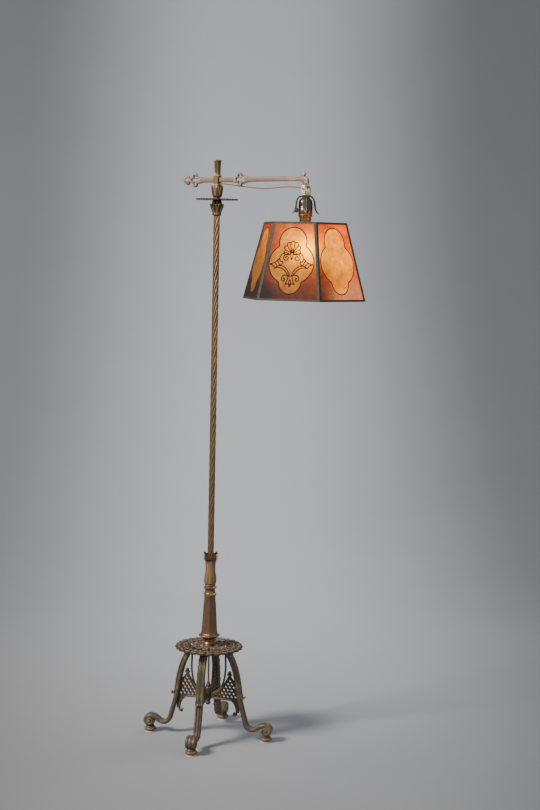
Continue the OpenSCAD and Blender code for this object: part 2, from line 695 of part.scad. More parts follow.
module socket_shell() {
    r = shell_d / 2;
    w = shell_wall;
    n = neck_d / 2;
    bore_r = base_d / 2 + 0.25;
    fit = neck_fit_z - shell_z;
    color(brass) at_socket() difference() {
        translate([0, 0, shell_z]) rotate_extrude() polygon([
            [bore_r, fit - 7], [n - thread_h, fit - 7], [n - thread_h, fit + 2.4], [n, fit + 2.4], [n, -1], [r, 0],
            [r, shell_h], [r - w, shell_h], [r - w, w], [bore_r, 0]]);
        rotate([0, 0, 180]) translate([0, 0, key_z]) rotate([0, 90, 0]) cylinder(d = 4 + 2 * turn_fit, h = shell_d);
    }
}

module shell_liner() {
    r = shell_d / 2 - shell_wall - 0.1;
    color("tan") at_socket() difference() {
        tube(2 * r, 2 * r - 1.2, shell_z + shell_wall + 0.2, shell_h - shell_wall - 1);
        rotate([0, 0, 180]) translate([0, 0, key_z]) rotate([0, 90, 0]) cylinder(d = 5, h = shell_d);
    }
}

core_z = shell_z + 21;

module socket_core() {
    color("ivory") at_socket() difference() {
        translate([0, 0, core_z]) cylinder(d = shell_d - 2 * shell_wall - 3.4, h = 13);
        bore(3, core_z - 1, 16);
        // Slot that clears the end of the switch stem
        rotate([0, 0, 180]) translate([0, -3, core_z - 1]) cube([shell_d, 6, 0.5]);
    }
}

module screw_shell() {
    color(brass) at_socket() tube(base_d + 1.4, base_d + 0.4, shell_z + 1.5, core_z - shell_z - 1.5);
}

module switch_key() {
    start = base_d / 2 + 1;
    color(black) at_socket() rotate([0, 0, 180]) translate([0, 0, key_z]) {
        rotate([0, 90, 0]) translate([0, 0, start]) cylinder(d = 4, h = shell_d / 2 + 8 - start);
        translate([shell_d / 2 + 7, -1.25, -5.5]) cube([9, 2.5, 11]);
    }
}

bulb_top = core_z - 1;
bulb_r = bulb_d / 2;
bulb_mid = bulb_top - 96;

module bulb_base() { color(steel) at_socket() bore(base_d, bulb_top - 25, 25); }

module bulb_glass() {
    neck_r = base_d / 2 - 0.4;
    throat = bulb_top - 26;
    function skin(t) = concat(
        arc(0, bulb_mid, bulb_r - t, -90, 30, 16),
        bezier([(bulb_r - t) * cos(30), bulb_mid + (bulb_r - t) * sin(30)],
               [(bulb_r - t) * cos(30) - 7, bulb_mid + (bulb_r - t) * sin(30) + 12],
               [neck_r - t, throat - 30], [neck_r - t, throat - 8], 8));
    inside = skin(1);
    color("lightyellow") at_socket() rotate_extrude() polygon(concat(
        skin(0), [[neck_r, throat + 1]], [[neck_r - 1, throat + 1]],
        [for (i = [len(inside) - 1:-1:0]) inside[i]]));
}

// ---- Shade ----
slant = atan((shade_bottom_r - shade_top_r) * cos(30) / shade_h);
slant_len = shade_h / cos(slant);
spider_t = 1.6;
flange_t = 0.8;
spider_z = shade_top_z - flange_t - spider_t;
neck_fit_z = spider_z - 0.2;
mica_top = slant_len - (flange_t + spider_t + 0.3) / cos(slant);

// Puts a flat piece on side i: X runs along the side, Y up the slope, Z outward
module on_side(i) {
    at_socket() rotate([0, 0, shade_turn - arm_turn + 30 + 60 * i]) translate([shade_bottom_r * cos(30), 0, shade_z])
        rotate([0, -slant, 0]) rotate([90, 0, 90]) children();
}
// Half the width of a side at distance y up its slope
function half_w(y) = (shade_bottom_r + (shade_top_r - shade_bottom_r) * y / slant_len) / 2;

module side_strip(y0, y1, out0, thick) {
    grow = (out0 + thick) * tan(30);
    translate([0, 0, out0]) linear_extrude(height = thick) polygon([
        [-half_w(y0) - grow, y0], [half_w(y0) + grow, y0], [half_w(y1) + grow, y1], [-half_w(y1) - grow, y1]]);
}

module mica_panel(i) {
    inset = mica_t * tan(30) + 0.05;
    color(mica) on_side(i) translate([0, 0, -mica_t]) linear_extrude(height = mica_t) polygon([
        [-half_w(0) + inset, 0.5], [half_w(0) - inset, 0.5], [half_w(mica_top) - inset, mica_top],
        [inset - half_w(mica_top), mica_top]]);
}

module seam_strips() {
    grow = strip_t * tan(30);
    color(dark_bronze) for (i = [0:5], s = [-1, 1])
        on_side(i) translate([0, 0, 0.02]) linear_extrude(height = strip_t) polygon([
            [s * (half_w(rim_h) + grow), rim_h + 0.02], [s * (half_w(slant_len - rim_h) + grow), slant_len - rim_h - 0.02],
            [s * (half_w(slant_len - rim_h) - strip_w), slant_len - rim_h - 0.02], [s * (half_w(rim_h) - strip_w), rim_h + 0.02]]);
}

module shade_top_rim() {
    a = shade_top_r + strip_t / cos(30);
    color(dark_bronze) {
        for (i = [0:5]) on_side(i) side_strip(slant_len - rim_h, slant_len - 0.25, 0.02, strip_t);
        at_socket() rotate([0, 0, shade_turn - arm_turn]) translate([0, 0, shade_top_z - flange_t])
            linear_extrude(height = flange_t) difference() {
                circle(r = a, $fn = 6);
                circle(r = a - 7, $fn = 6);
            }
    }
}

module shade_bottom_rim() { color(dark_bronze) for (i = [0:5]) on_side(i) side_strip(0, rim_h, 0.02, strip_t); }

module shade_spider() {
    color(brass) at_socket() rotate([0, 0, shade_turn - arm_turn]) translate([0, 0, spider_z]) linear_extrude(height = spider_t)
        difference() {
            union() {
                circle(d = neck_d + 9);
                for (a = [0:120:240]) rotate(a) translate([0, -3]) square([shade_top_r - 4, 6]);
            }
            circle(d = neck_d - 2 * thread_h + 2 * turn_fit);
        }
}

module shade_ring_nut() {
    color(brass) at_socket() translate([0, 0, neck_fit_z - 5]) difference() {
        cylinder(d = neck_d + 5, h = 5);
        translate([0, 0, -1]) cylinder(d = neck_d - 2 * thread_h, h = 7);
    }
}

leg(0);  // leg_right
leg(1);  // leg_back
leg(2);  // leg_left
leg(3);  // leg_front
bun_foot(0);  // bun_foot_right
bun_foot(1);  // bun_foot_back
bun_foot(2);  // bun_foot_left
bun_foot(3);  // bun_foot_front
felt_pad(0);  // felt_pad_right
felt_pad(1);  // felt_pad_back
felt_pad(2);  // felt_pad_left
felt_pad(3);  // felt_pad_front
foot_screws();
base_plate();
leg_screws();
tie_rod();
bracket_hub();
hub_drop();
column_collar();
cord_bushing();
octagonal_column();
brass_ring();
knife_ring();
leaf_vase();
rope_casing();
steel_pipe();
pole_wire();
pipe_locknut();
lower_leaf_cup();
gallery_disc();
upper_leaf_cup();
swivel_nipple();
arm();
finial();
lead_bushing();
arm_lead();
hickey_screw();
hickey();
socket_nipple();
husk();
socket_cap();
socket_shell();
shell_liner();
socket_core();
screw_shell();
switch_key();
bulb_base();
bulb_glass();
shade_ring_nut();
shade_spider();
shade_top_rim();
shade_bottom_rim();
seam_strips();
mica_panel(0);  // mica_panel_1
mica_panel(1);  // mica_panel_2
mica_panel(2);  // mica_panel_3
mica_panel(3);  // mica_panel_4
mica_panel(4);  // mica_panel_5
mica_panel(5);  // mica_panel_6
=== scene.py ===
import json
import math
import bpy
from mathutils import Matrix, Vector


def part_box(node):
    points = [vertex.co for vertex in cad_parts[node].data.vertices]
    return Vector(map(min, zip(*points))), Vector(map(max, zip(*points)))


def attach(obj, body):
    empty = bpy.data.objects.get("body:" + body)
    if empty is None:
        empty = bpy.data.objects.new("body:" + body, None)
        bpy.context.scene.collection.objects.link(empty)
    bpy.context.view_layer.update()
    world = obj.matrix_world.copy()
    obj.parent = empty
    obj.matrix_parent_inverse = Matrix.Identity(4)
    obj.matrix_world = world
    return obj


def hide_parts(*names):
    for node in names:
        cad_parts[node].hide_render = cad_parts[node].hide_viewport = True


bl_info = {
    "name": "Bridge Arm Floor Lamp",
    "version": (1, 0, 0),
    "blender": (4, 5, 0),
    "location": "3D View > Sidebar > Floor Lamp",
    "description": "Builds the finished pieces of a cast bridge-arm floor lamp with a mica shade",
    "category": "Add Mesh",
}

import bpy
from mathutils import Matrix, Vector

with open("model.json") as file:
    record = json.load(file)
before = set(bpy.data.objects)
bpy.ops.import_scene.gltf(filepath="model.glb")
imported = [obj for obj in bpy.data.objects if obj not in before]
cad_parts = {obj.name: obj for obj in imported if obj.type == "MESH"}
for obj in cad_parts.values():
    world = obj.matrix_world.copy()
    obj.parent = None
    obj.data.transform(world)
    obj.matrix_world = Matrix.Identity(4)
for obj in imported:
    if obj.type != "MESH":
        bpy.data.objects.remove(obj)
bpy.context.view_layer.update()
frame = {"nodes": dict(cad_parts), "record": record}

MM = 0.001
# Vertices closer than this, in millimetres, are merged
DOUBLES = 0.02


# ---------------------------------------------------------------- sizes from the frame

def span(node):
    """Lowest and highest corner of a node in millimetres."""
    low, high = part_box(node)
    return [v / MM for v in low], [v / MM for v in high]


def middle(node):
    """Centre of a node seen from above, in millimetres."""
    low, high = span(node)
    return (low[0] + high[0]) / 2, (low[1] + high[1]) / 2


ARM_TURN = math.radians(-42)
BASE_TURN = math.radians(-15)
SHADE_TURN = math.radians(-19)
LEGS = ("right", "back", "left", "front")
SOCKET = middle("socket_shell")
ARM_Z = span("arm_lead")[1][2] + 8.2
SOCKET_TURN = Matrix.Translation((SOCKET[0] * MM, SOCKET[1] * MM, 0)) @ Matrix.Rotation(ARM_TURN, 4, "Z")
ARM_PLACE = Matrix.Rotation(ARM_TURN, 4, "Z")


# ---------------------------------------------------------------- modelling helpers

def select_only(*pieces):
    """Object mode, with only these selected and the last one active."""
    if bpy.context.object and bpy.context.object.mode != "OBJECT":
        bpy.ops.object.mode_set(mode="OBJECT")
    bpy.ops.object.select_all(action="DESELECT")
    for piece in pieces:
        piece.select_set(True)
        bpy.context.view_layer.objects.active = piece


def primitive(name, kind, **options):
    """One new mesh primitive, alone in the selection, with the piece's name."""
    select_only()
    getattr(bpy.ops.mesh, f"primitive_{kind}_add")(**options)
    piece = bpy.context.object
    piece.name = piece.data.name = name
    return piece


def pick(piece, kind, test):
    """Edit mode on a piece, with only the vertices, edges or faces whose middle passes the test."""
    select_only(piece)
    bpy.ops.object.mode_set(mode="EDIT")
    bpy.ops.mesh.select_mode(type=kind)
    bpy.ops.mesh.select_all(action="DESELECT")
    bpy.ops.object.mode_set(mode="OBJECT")
    mesh = piece.data
    if kind == "VERT":
        for vertex in mesh.vertices:
            vertex.select = test(vertex.co / MM)
    elif kind == "EDGE":
        for edge in mesh.edges:
            edge.select = test((mesh.vertices[edge.vertices[0]].co
                                + mesh.vertices[edge.vertices[1]].co) / 2 / MM)
    else:
        for face in mesh.polygons:
            face.select = test(face.center / MM)
    bpy.ops.object.mode_set(mode="EDIT")


def grow(move, scale=None, spin=0.0, centre=(0, 0, 0)):
    """Extrudes the selection by a move in millimetres, then resizes it and turns it about Y at the centre."""
    bpy.ops.mesh.extrude_region_move(TRANSFORM_OT_translate={"value": [v * MM for v in move]})
    at = [v * MM for v in centre]
    if spin:
        bpy.ops.transform.rotate(value=spin, orient_axis="Y", orient_type="GLOBAL", center_override=at)
    if scale:
        bpy.ops.transform.resize(value=scale, center_override=at)


def close_up(piece, smooth=35.0):
    """Merges doubles, turns the faces outwards and shades by angle."""
    select_only(piece)
    bpy.ops.object.mode_set(mode="EDIT")
    bpy.ops.mesh.select_all(action="SELECT")
    bpy.ops.mesh.remove_doubles(threshold=DOUBLES * MM)
    bpy.ops.mesh.normals_make_consistent(inside=False)
    bpy.ops.object.mode_set(mode="OBJECT")
    bpy.ops.object.shade_smooth_by_angle(angle=math.radians(smooth))
    return piece


def modify(piece, kind, **settings):
    """Adds one modifier and applies it."""
    select_only(piece)
    modifier = piece.modifiers.new(kind.title(), kind)
    for name, value in settings.items():
        setattr(modifier, name, value)
    bpy.ops.object.modifier_apply(modifier=modifier.name)
    return piece


def lay(piece, matrix):
    """Puts a piece in its place, with the place in its mesh."""
    select_only(piece)
    piece.matrix_world = matrix @ piece.matrix_world
    bpy.context.view_layer.update()
    bpy.ops.object.transform_apply(location=True, rotation=True, scale=True)
    return piece


def copies(piece, name, count, turn=0.0):
    """Copies of a piece set evenly round the pole's axis, joined to it under one name."""
    made = [piece]
    for _ in range(count - 1):
        twin = piece.copy()
        twin.data = piece.data.copy()
        bpy.context.collection.objects.link(twin)
        made.append(twin)
    for i, twin in enumerate(made):
        lay(twin, Matrix.Rotation(turn + 2 * math.pi / count * i, 4, "Z"))
    return join(name, *made)


def join(name, *pieces):
    """One piece made of several."""
    if len(pieces) > 1:
        select_only(*reversed(pieces))
        bpy.ops.object.join()
    pieces[0].name = pieces[0].data.name = name
    return pieces[0]


def turned(name, profile, sides=72, at=(0, 0), turn=0.0, ring=None, smooth=35.0):
    """A turned piece: a circle is extruded up through (radius, height) steps in millimetres. ring(angle)
    reshapes the round."""
    radius, height = profile[0]
    piece = primitive(name, "circle", vertices=sides, radius=radius * MM, fill_type="NGON",
                      location=(at[0] * MM, at[1] * MM, height * MM), rotation=(0, 0, turn))
    bpy.ops.object.transform_apply(location=True, rotation=True, scale=True)
    if ring:
        for vertex in piece.data.vertices:
            x, y = vertex.co.x - at[0] * MM, vertex.co.y - at[1] * MM
            factor = ring(math.atan2(y, x))
            vertex.co.x, vertex.co.y = at[0] * MM + x * factor, at[1] * MM + y * factor
    bpy.ops.object.mode_set(mode="EDIT")
    bpy.ops.mesh.select_all(action="SELECT")
    for (r0, z0), (r1, z1) in zip(profile, profile[1:]):
        scale = None if r1 == r0 else (r1 / r0, r1 / r0, 1)
        grow((0, 0, z1 - z0), scale, centre=(at[0], at[1], z1))
    return close_up(piece, smooth)


def flat(name, outlines, thickness, bevel, place=Matrix(), smooth=40.0):
    """A flat casting: closed outlines in millimetres, where an outline inside another is a hole, with rounded
    edges. It stands up as X along and Z up, and is then placed."""
    shape = bpy.data.curves.new(name, "CURVE")
    shape.dimensions, shape.fill_mode = "2D", "BOTH"
    for points in outlines:
        spline = shape.splines.new("POLY")
        spline.points.add(len(points) - 1)
        for point, (x, y) in zip(spline.points, points):
            point.co = (x * MM, y * MM, 0, 1)
        spline.use_cyclic_u = True
    shape.extrude = (thickness / 2 - bevel) * MM
    shape.bevel_depth, shape.bevel_resolution, shape.offset = bevel * MM, 2, -bevel * MM
    piece = bpy.data.objects.new(name, shape)
    bpy.context.collection.objects.link(piece)
    select_only(piece)
    bpy.ops.object.convert(target="MESH")
    piece = bpy.context.object
    lay(piece, place @ Matrix.Rotation(math.pi / 2, 4, "X"))
    return close_up(piece, smooth)


def wire(name, strokes, width, place=Matrix(), flatten=1.0, sides=2):
    """Thin raised lines through lists of (x, y) points in millimetres, laid in the XY plane, then placed."""
    shape = bpy.data.curves.new(name, "CURVE")
    shape.dimensions = "3D"
    for points, closed in strokes:
        spline = shape.splines.new("POLY")
        spline.points.add(len(points) - 1)
        for point, at in zip(spline.points, points):
            point.co = (at[0] * MM, at[1] * MM, (at[2] * MM if len(at) > 2 else 0) / flatten, 1)
        spline.use_cyclic_u = closed
    shape.bevel_depth, shape.bevel_resolution, shape.use_fill_caps = width / 2 * MM, sides, True
    piece = bpy.data.objects.new(name, shape)
    bpy.context.collection.objects.link(piece)
    select_only(piece)
    bpy.ops.object.convert(target="MESH")
    piece = bpy.context.object
    lay(piece, place @ Matrix.Diagonal((1, 1, flatten, 1)))
    return close_up(piece, 60.0)


def sweep(name, section, stations):
    """A bar or leaf: a section of (across, out) points is extruded along stations of (x, z, width scale,
    depth scale) in the XZ plane. Its out side is to the left of the way the stations run, its across is Y."""
    def heading(i):
        a, b = stations[max(i - 1, 0)], stations[min(i + 1, len(stations) - 1)]
        return math.atan2(b[1] - a[1], b[0] - a[0])

    x, z, wide, deep = stations[0]
    piece = primitive(name, "circle", vertices=len(section), radius=MM, fill_type="NGON")
    angle = heading(0)
    for vertex, (across, out) in zip(piece.data.vertices, section):
        out *= deep
        vertex.co = ((x - out * math.sin(angle)) * MM, across * wide * MM, (z + out * math.cos(angle)) * MM)
    bpy.ops.object.mode_set(mode="EDIT")
    bpy.ops.mesh.select_mode(type="VERT")
    bpy.ops.mesh.select_all(action="SELECT")
    for i in range(1, len(stations)):
        x1, z1, wide1, deep1 = stations[i]
        turn = heading(i) - angle
        turn = math.atan2(math.sin(turn), math.cos(turn))
        # Without a window the operator turns the other way, so a rise of the heading keeps its sign about Y.
        grow((x1 - x, 0, z1 - z), (deep1 / deep, wide1 / wide, deep1 / deep), turn, (x1, 0, z1))
        x, z, wide, deep, angle = x1, z1, wide1, deep1, angle + turn
    return close_up(piece, 50.0)


def bezier(a, b, c, d, n):
    """Points along one cubic curve."""
    out = []
    for i in range(n + 1):
        t, s = i / n, 1 - i / n
        out.append(tuple(s ** 3 * p + 3 * s * s * t * q + 3 * s * t * t * r + t ** 3 * u
                         for p, q, r, u in zip(a, b, c, d)))
    return out


def chain(*curves):
    """Curves joined end to end, each shared end point kept once."""
    return [p for k, curve in enumerate(curves) for p in curve[1 if k else 0:]]


def arc(cx, cy, r, start, end, n):
    """Points on a circle, with angles in degrees."""
    return [(cx + r * math.cos(math.radians(start + (end - start) * i / n)),
             cy + r * math.sin(math.radians(start + (end - start) * i / n))) for i in range(n + 1)]


# ---------------------------------------------------------------- finishes

def linear(text):
    """An sRGB hex colour in linear light."""
    parts = [int(text[i:i + 2], 16) / 255 for i in (1, 3, 5)]
    return [v / 12.92 if v <= 0.04045 else ((v + 0.055) / 1.055) ** 2.4 for v in parts] + [1.0]


def add_node(material, kind, settings=None, inputs=None):
    """A shader node with its settings, and its inputs as values or as another node's output."""
    tree = material.node_tree
    node = tree.nodes.new(kind)
    for name, value in (settings or {}).items():
        setattr(node, name, value)
    for name, value in (inputs or {}).items():
        if isinstance(value, bpy.types.NodeSocket):
            tree.links.new(value, node.inputs[name])
        else:
            node.inputs[name].default_value = value
    return node


def blank(name):
    """A material with only its output, and its coordinates node."""
    material = bpy.data.materials.new(name)
    material.use_nodes = True
    material.node_tree.nodes.clear()
    return material, add_node(material, "ShaderNodeOutputMaterial"), add_node(material, "ShaderNodeTexCoord")


def antique(name, hollow, body, rubbed, roughness=0.45, metallic=0.85, mottle=14.0, grain=0.8, depth=0.12,
            hollow_size=4.0, wear=0.75, edge_from=0.62, stain=None, stain_size=30.0, stain_share=0.45):
    """An old finish on cast or turned metal: darker in the hollows that ambient occlusion finds, a mottled
    body colour, and a rubbed colour along edges. Sizes in millimetres: mottle of the body colour, grain of
    the casting and its depth."""
    material, out, coords = blank(name)
    patches = add_node(material, "ShaderNodeTexNoise", inputs={
        "Vector": coords.outputs["Object"], "Scale": 1 / (mottle * MM), "Detail": 5.0, "Roughness": 0.6})
    spread = add_node(material, "ShaderNodeMapRange", inputs={
        "Value": patches.outputs["Fac"], "From Min": 0.35, "From Max": 0.65})
    tone = add_node(material, "ShaderNodeMix", {"data_type": "RGBA"}, {
        "Factor": spread.outputs["Result"], "A": linear(hollow), "B": linear(body)})
    half = add_node(material, "ShaderNodeMix", {"data_type": "RGBA"}, {
        "Factor": 0.62, "A": tone.outputs["Result"], "B": linear(body)})
    colour = half.outputs["Result"]
    if stain:
        big = add_node(material, "ShaderNodeTexNoise", inputs={
            "Vector": coords.outputs["Object"], "Scale": 1 / (stain_size * MM), "Detail": 3.0})
        share = add_node(material, "ShaderNodeMapRange", inputs={
            "Value": big.outputs["Fac"], "From Min": 0.62 - stain_share / 2,
            "From Max": 0.72 - stain_share / 2})
        stained = add_node(material, "ShaderNodeMix", {"data_type": "RGBA"}, {
            "Factor": share.outputs["Result"], "A": colour, "B": linear(stain)})
        colour = stained.outputs["Result"]
    # Edges: rays inside the metal meet a wall soon where the shape is thin or sharp.
    edge = add_node(material, "ShaderNodeAmbientOcclusion",
                    {"inside": True, "only_local": True, "samples": 6}, {"Distance": 1.6 * MM})
    sharp = add_node(material, "ShaderNodeMapRange", inputs={
        "Value": edge.outputs["AO"], "From Min": edge_from, "From Max": 0.30, "To Max": wear})
    worn = add_node(material, "ShaderNodeMix", {"data_type": "RGBA"}, {
        "Factor": sharp.outputs["Result"], "A": colour, "B": linear(rubbed)})
    # Darker in the hollows that ambient occlusion finds.
    hollow_occlusion = add_node(material, "ShaderNodeAmbientOcclusion", {"only_local": True, "samples": 6},
                    {"Distance": hollow_size * MM})
    deep = add_node(material, "ShaderNodeMapRange", inputs={
        "Value": hollow_occlusion.outputs["AO"], "From Min": 0.85, "From Max": 0.35})
    hollow_darkened = add_node(material, "ShaderNodeMix", {"data_type": "RGBA"}, {
        "Factor": deep.outputs["Result"], "A": worn.outputs["Result"], "B": linear(hollow)})
    rough = add_node(material, "ShaderNodeMapRange", inputs={
        "Value": patches.outputs["Fac"], "From Min": 0.3, "From Max": 0.7,
        "To Min": roughness + 0.12, "To Max": roughness - 0.08})
    pits = add_node(material, "ShaderNodeTexNoise", inputs={
        "Vector": coords.outputs["Object"], "Scale": 1 / (grain * 3 * MM), "Detail": 4.0, "Roughness": 0.65})
    bump = add_node(material, "ShaderNodeBump", inputs={
        "Height": pits.outputs["Fac"], "Strength": 0.8, "Distance": depth * MM})
    surface = add_node(material, "ShaderNodeBsdfPrincipled", inputs={
        "Base Color": hollow_darkened.outputs["Result"], "Roughness": rough.outputs["Result"], "Metallic": metallic,
        "Normal": bump.outputs["Normal"]})
    material.node_tree.links.new(surface.outputs["BSDF"], out.inputs["Surface"])
    return material


def plain(name, dark, light, roughness, metallic=0.0, patch=2.0, depth=0.05, coat=0.0):
    """A small part in one finish, with a fine change of tone and grain."""
    material, out, coords = blank(name)
    noise = add_node(material, "ShaderNodeTexNoise", inputs={
        "Vector": coords.outputs["Object"], "Scale": 1 / (patch * MM), "Detail": 4.0})
    tone = add_node(material, "ShaderNodeMix", {"data_type": "RGBA"}, {
        "Factor": noise.outputs["Fac"], "A": linear(dark), "B": linear(light)})
    bump = add_node(material, "ShaderNodeBump", inputs={
        "Height": noise.outputs["Fac"], "Strength": 0.6, "Distance": depth * MM})
    surface = add_node(material, "ShaderNodeBsdfPrincipled", inputs={
        "Base Color": tone.outputs["Result"], "Roughness": roughness, "Metallic": metallic,
        "Coat Weight": coat, "Normal": bump.outputs["Normal"]})
    material.node_tree.links.new(surface.outputs["BSDF"], out.inputs["Surface"])
    return material


def finishes():
    """Every finish of the lamp, by the name that the pieces ask for."""
    return {
        # Gilt paint over cast iron, worn and turned green in damp air: dull, with yellow-green rubbed tops.
        "leg_iron": antique("verdigris_gilt_cast_iron", "#1f1911", "#68594a", "#b3a283", 0.5, 0.3,
                            9, 1.2, 0.25, wear=0.9, stain="#767149", stain_size=34, stain_share=0.16),
        # Bronzed openwork casting: brown-grey, with the tops of the relief rubbed to cream.
        "plate_iron": antique("bronzed_openwork_cast_iron", "#221a14", "#57463a", "#a8937a", 0.55, 0.4,
                              5, 1.0, 0.25, hollow_size=5.0),
        # Dull reddish bronze paint on cast feet.
        "foot_bronze": antique("dull_red_bronze_casting", "#33261d", "#7a6a58", "#b39f86", 0.6, 0.3,
                               8, 1.0, 0.2),
        # Pressed wool felt.
        "felt": plain("pressed_wool_felt", "#b5a093", "#d9c8bb", 0.95, 0.0, 1.2, 0.25),
        # Cast antique bronze, satin: golden brown with brown hollows and gold arrises.
        "column_bronze": antique("satin_antique_bronze", "#2b1e15", "#7d6048", "#d0aa80", 0.38, 0.6,
                                 16, 0.9, 0.12, edge_from=0.9),
        # The same bronze on leaf work: nearly black in the hollows, rubbed bright on the leaves.
        "leaf_bronze": antique("rubbed_leaf_work_bronze", "#170f09", "#644c38", "#cda97e", 0.4, 0.6,
                               12, 0.8, 0.12, hollow_size=4.5),
        # Rope casing in antique gold over brass: dark in the grooves between strands.
        "pole_bronze": antique("antique_gold_rope_casing", "#1e1208", "#8a6f4e", "#dcc29a", 0.38, 0.65,
                               20, 0.7, 0.08, hollow_size=6.0),
        # Pale aged brass, spun.
        "ring_brass": antique("pale_aged_spun_brass", "#5c4c2c", "#b39d6b", "#e0cf9f", 0.35, 0.85,
                              10, 0.6, 0.05),
        # Near-black bronze.
        "dark_disc": antique("near_black_bronze", "#17130f", "#4a4138", "#8b7a64", 0.5, 0.5, 8, 0.8, 0.12),
        # Old gilt over cast iron with a rose undercoat that shows through.
        "arm_gilt": antique("rose_gilt_cast_iron", "#33251f", "#846d5b", "#c9b498", 0.45, 0.5, 10, 0.8, 0.18,
                            stain="#7d635a", stain_size=24, stain_share=0.35),
        # Polished brass with a light tarnish.
        "bright_brass": antique("polished_tarnished_brass", "#3d2a1a", "#8f7256", "#e6cfa8", 0.27, 0.95,
                                12, 0.5, 0.03),
        # Unlacquered pale brass casting.
        "pale_brass": antique("unlacquered_pale_brass", "#5d5133", "#c9b98e", "#ece0bd", 0.45, 0.5,
                              7, 0.6, 0.08),
        # Dark bronze leaves, veined.
        "husk_bronze": antique("dark_bronze_leaf", "#0c0a07", "#2f2b21", "#7b7059", 0.42, 0.45, 6, 0.7,
                               0.1, wear=0.3),
        # Plain drawn steel.
        "steel": plain("plain_drawn_steel", "#6f7072", "#9b9c9e", 0.4, 1.0, 3.0, 0.02),
        # Bronzed steel rod.
        "rod_bronze": plain("bronzed_steel_rod", "#6b4c3e", "#a37f6c", 0.4, 0.6, 4.0, 0.03),
        # Rayon braid over rubber: reddish brown, a soft sheen.
        "lead_cloth": plain("braided_cloth_covering", "#5d3021", "#9a5f45", 0.7, 0.0, 1.0, 0.15),
        # Black moulded insulation.
        "black_fibre": plain("black_moulded_fibre", "#0d0d0d", "#1b1a19", 0.4, 0.0, 1.5, 0.02),
        # Pressed insulating card.
        "liner_card": plain("pressed_insulating_card", "#8c6c48", "#ac8a62", 0.85, 0.0, 1.5, 0.05),
        # Glazed porcelain.
        "porcelain": plain("glazed_porcelain", "#ddd6c6", "#efe9dc", 0.25, 0.0, 5.0, 0.01, coat=0.5),
        # Brass strip gone olive-black with age.
        "shade_metal": antique("olive_black_brass_strip", "#100e09", "#2b281e", "#6b6350", 0.6, 0.15,
                               7, 0.6, 0.08, wear=0.12),
    }


def lit_bulb():
    """Frosted glass, lit: a warm even glow."""
    material, out, coords = blank("lit_frosted_glass")
    frost = add_node(material, "ShaderNodeTexNoise", inputs={
        "Vector": coords.outputs["Object"], "Scale": 1 / (2 * MM), "Detail": 2.0})
    bump = add_node(material, "ShaderNodeBump", inputs={
        "Height": frost.outputs["Fac"], "Strength": 0.3, "Distance": 0.02 * MM})
    surface = add_node(material, "ShaderNodeBsdfPrincipled", inputs={
        "Base Color": linear("#fff1d8"), "Roughness": 0.5, "Emission Color": linear("#ffd59a"),
        "Emission Strength": 6.0, "Normal": bump.outputs["Normal"]})
    material.node_tree.links.new(surface.outputs["BSDF"], out.inputs["Surface"])
    return material


FINISH = {}


def ride(piece, slot, body, *nodes):
    """Lets a piece that has its finish ride its body, in place of its CAD nodes."""
    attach(piece, body)
    if nodes:
        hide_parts(*nodes)
    return piece


def finish(piece, slot, body, *nodes):
    """Gives a whole piece the finish of its slot, and lets it ride its body."""
    piece.data.materials.clear()
    piece.data.materials.append(FINISH[slot])
    return ride(piece, slot, body, *nodes)


# ---------------------------------------------------------------- settings in the sidebar

class LampSizes(bpy.types.PropertyGroup):
    strands: bpy.props.IntProperty(
        name="Rope strands", description="Strands in the twist of the pole", default=7, min=4, max=12)
    lead_of_twist: bpy.props.FloatProperty(
        name="Lead of twist", description="Rise of one strand in a full turn, in metres",
        default=0.158, min=0.08, max=0.4, unit="LENGTH")
    line_width: bpy.props.FloatProperty(
        name="Painted line", description="Width of the lines painted on the mica, in metres", default=0.0026,
        min=0.0008, max=0.003, unit="LENGTH")
    lead_diameter: bpy.props.FloatProperty(
        name="Lead diameter", description="Diameter of the lead along the arm, in metres",
        default=0.003, min=0.002, max=0.004, unit="LENGTH")


class LampLight(bpy.types.PropertyGroup):
    bulb_power: bpy.props.FloatProperty(
        name="Bulb power", description="Power of the light in the bulb, in watts", default=0.5,
        min=0.0, max=30.0)
    glow: bpy.props.FloatProperty(
        name="Mica glow", description="Strength of the light that comes through the mica",
        default=1.5, min=0.0, max=4.0)


class LampOperator:
    """What all the lamp's operators share."""
    bl_options = {"REGISTER", "UNDO"}

    def execute(self, context):
        self.build(context.scene.lamp_sizes, context.scene.lamp_light)
        return {"FINISHED"}


# ---------------------------------------------------------------- stage

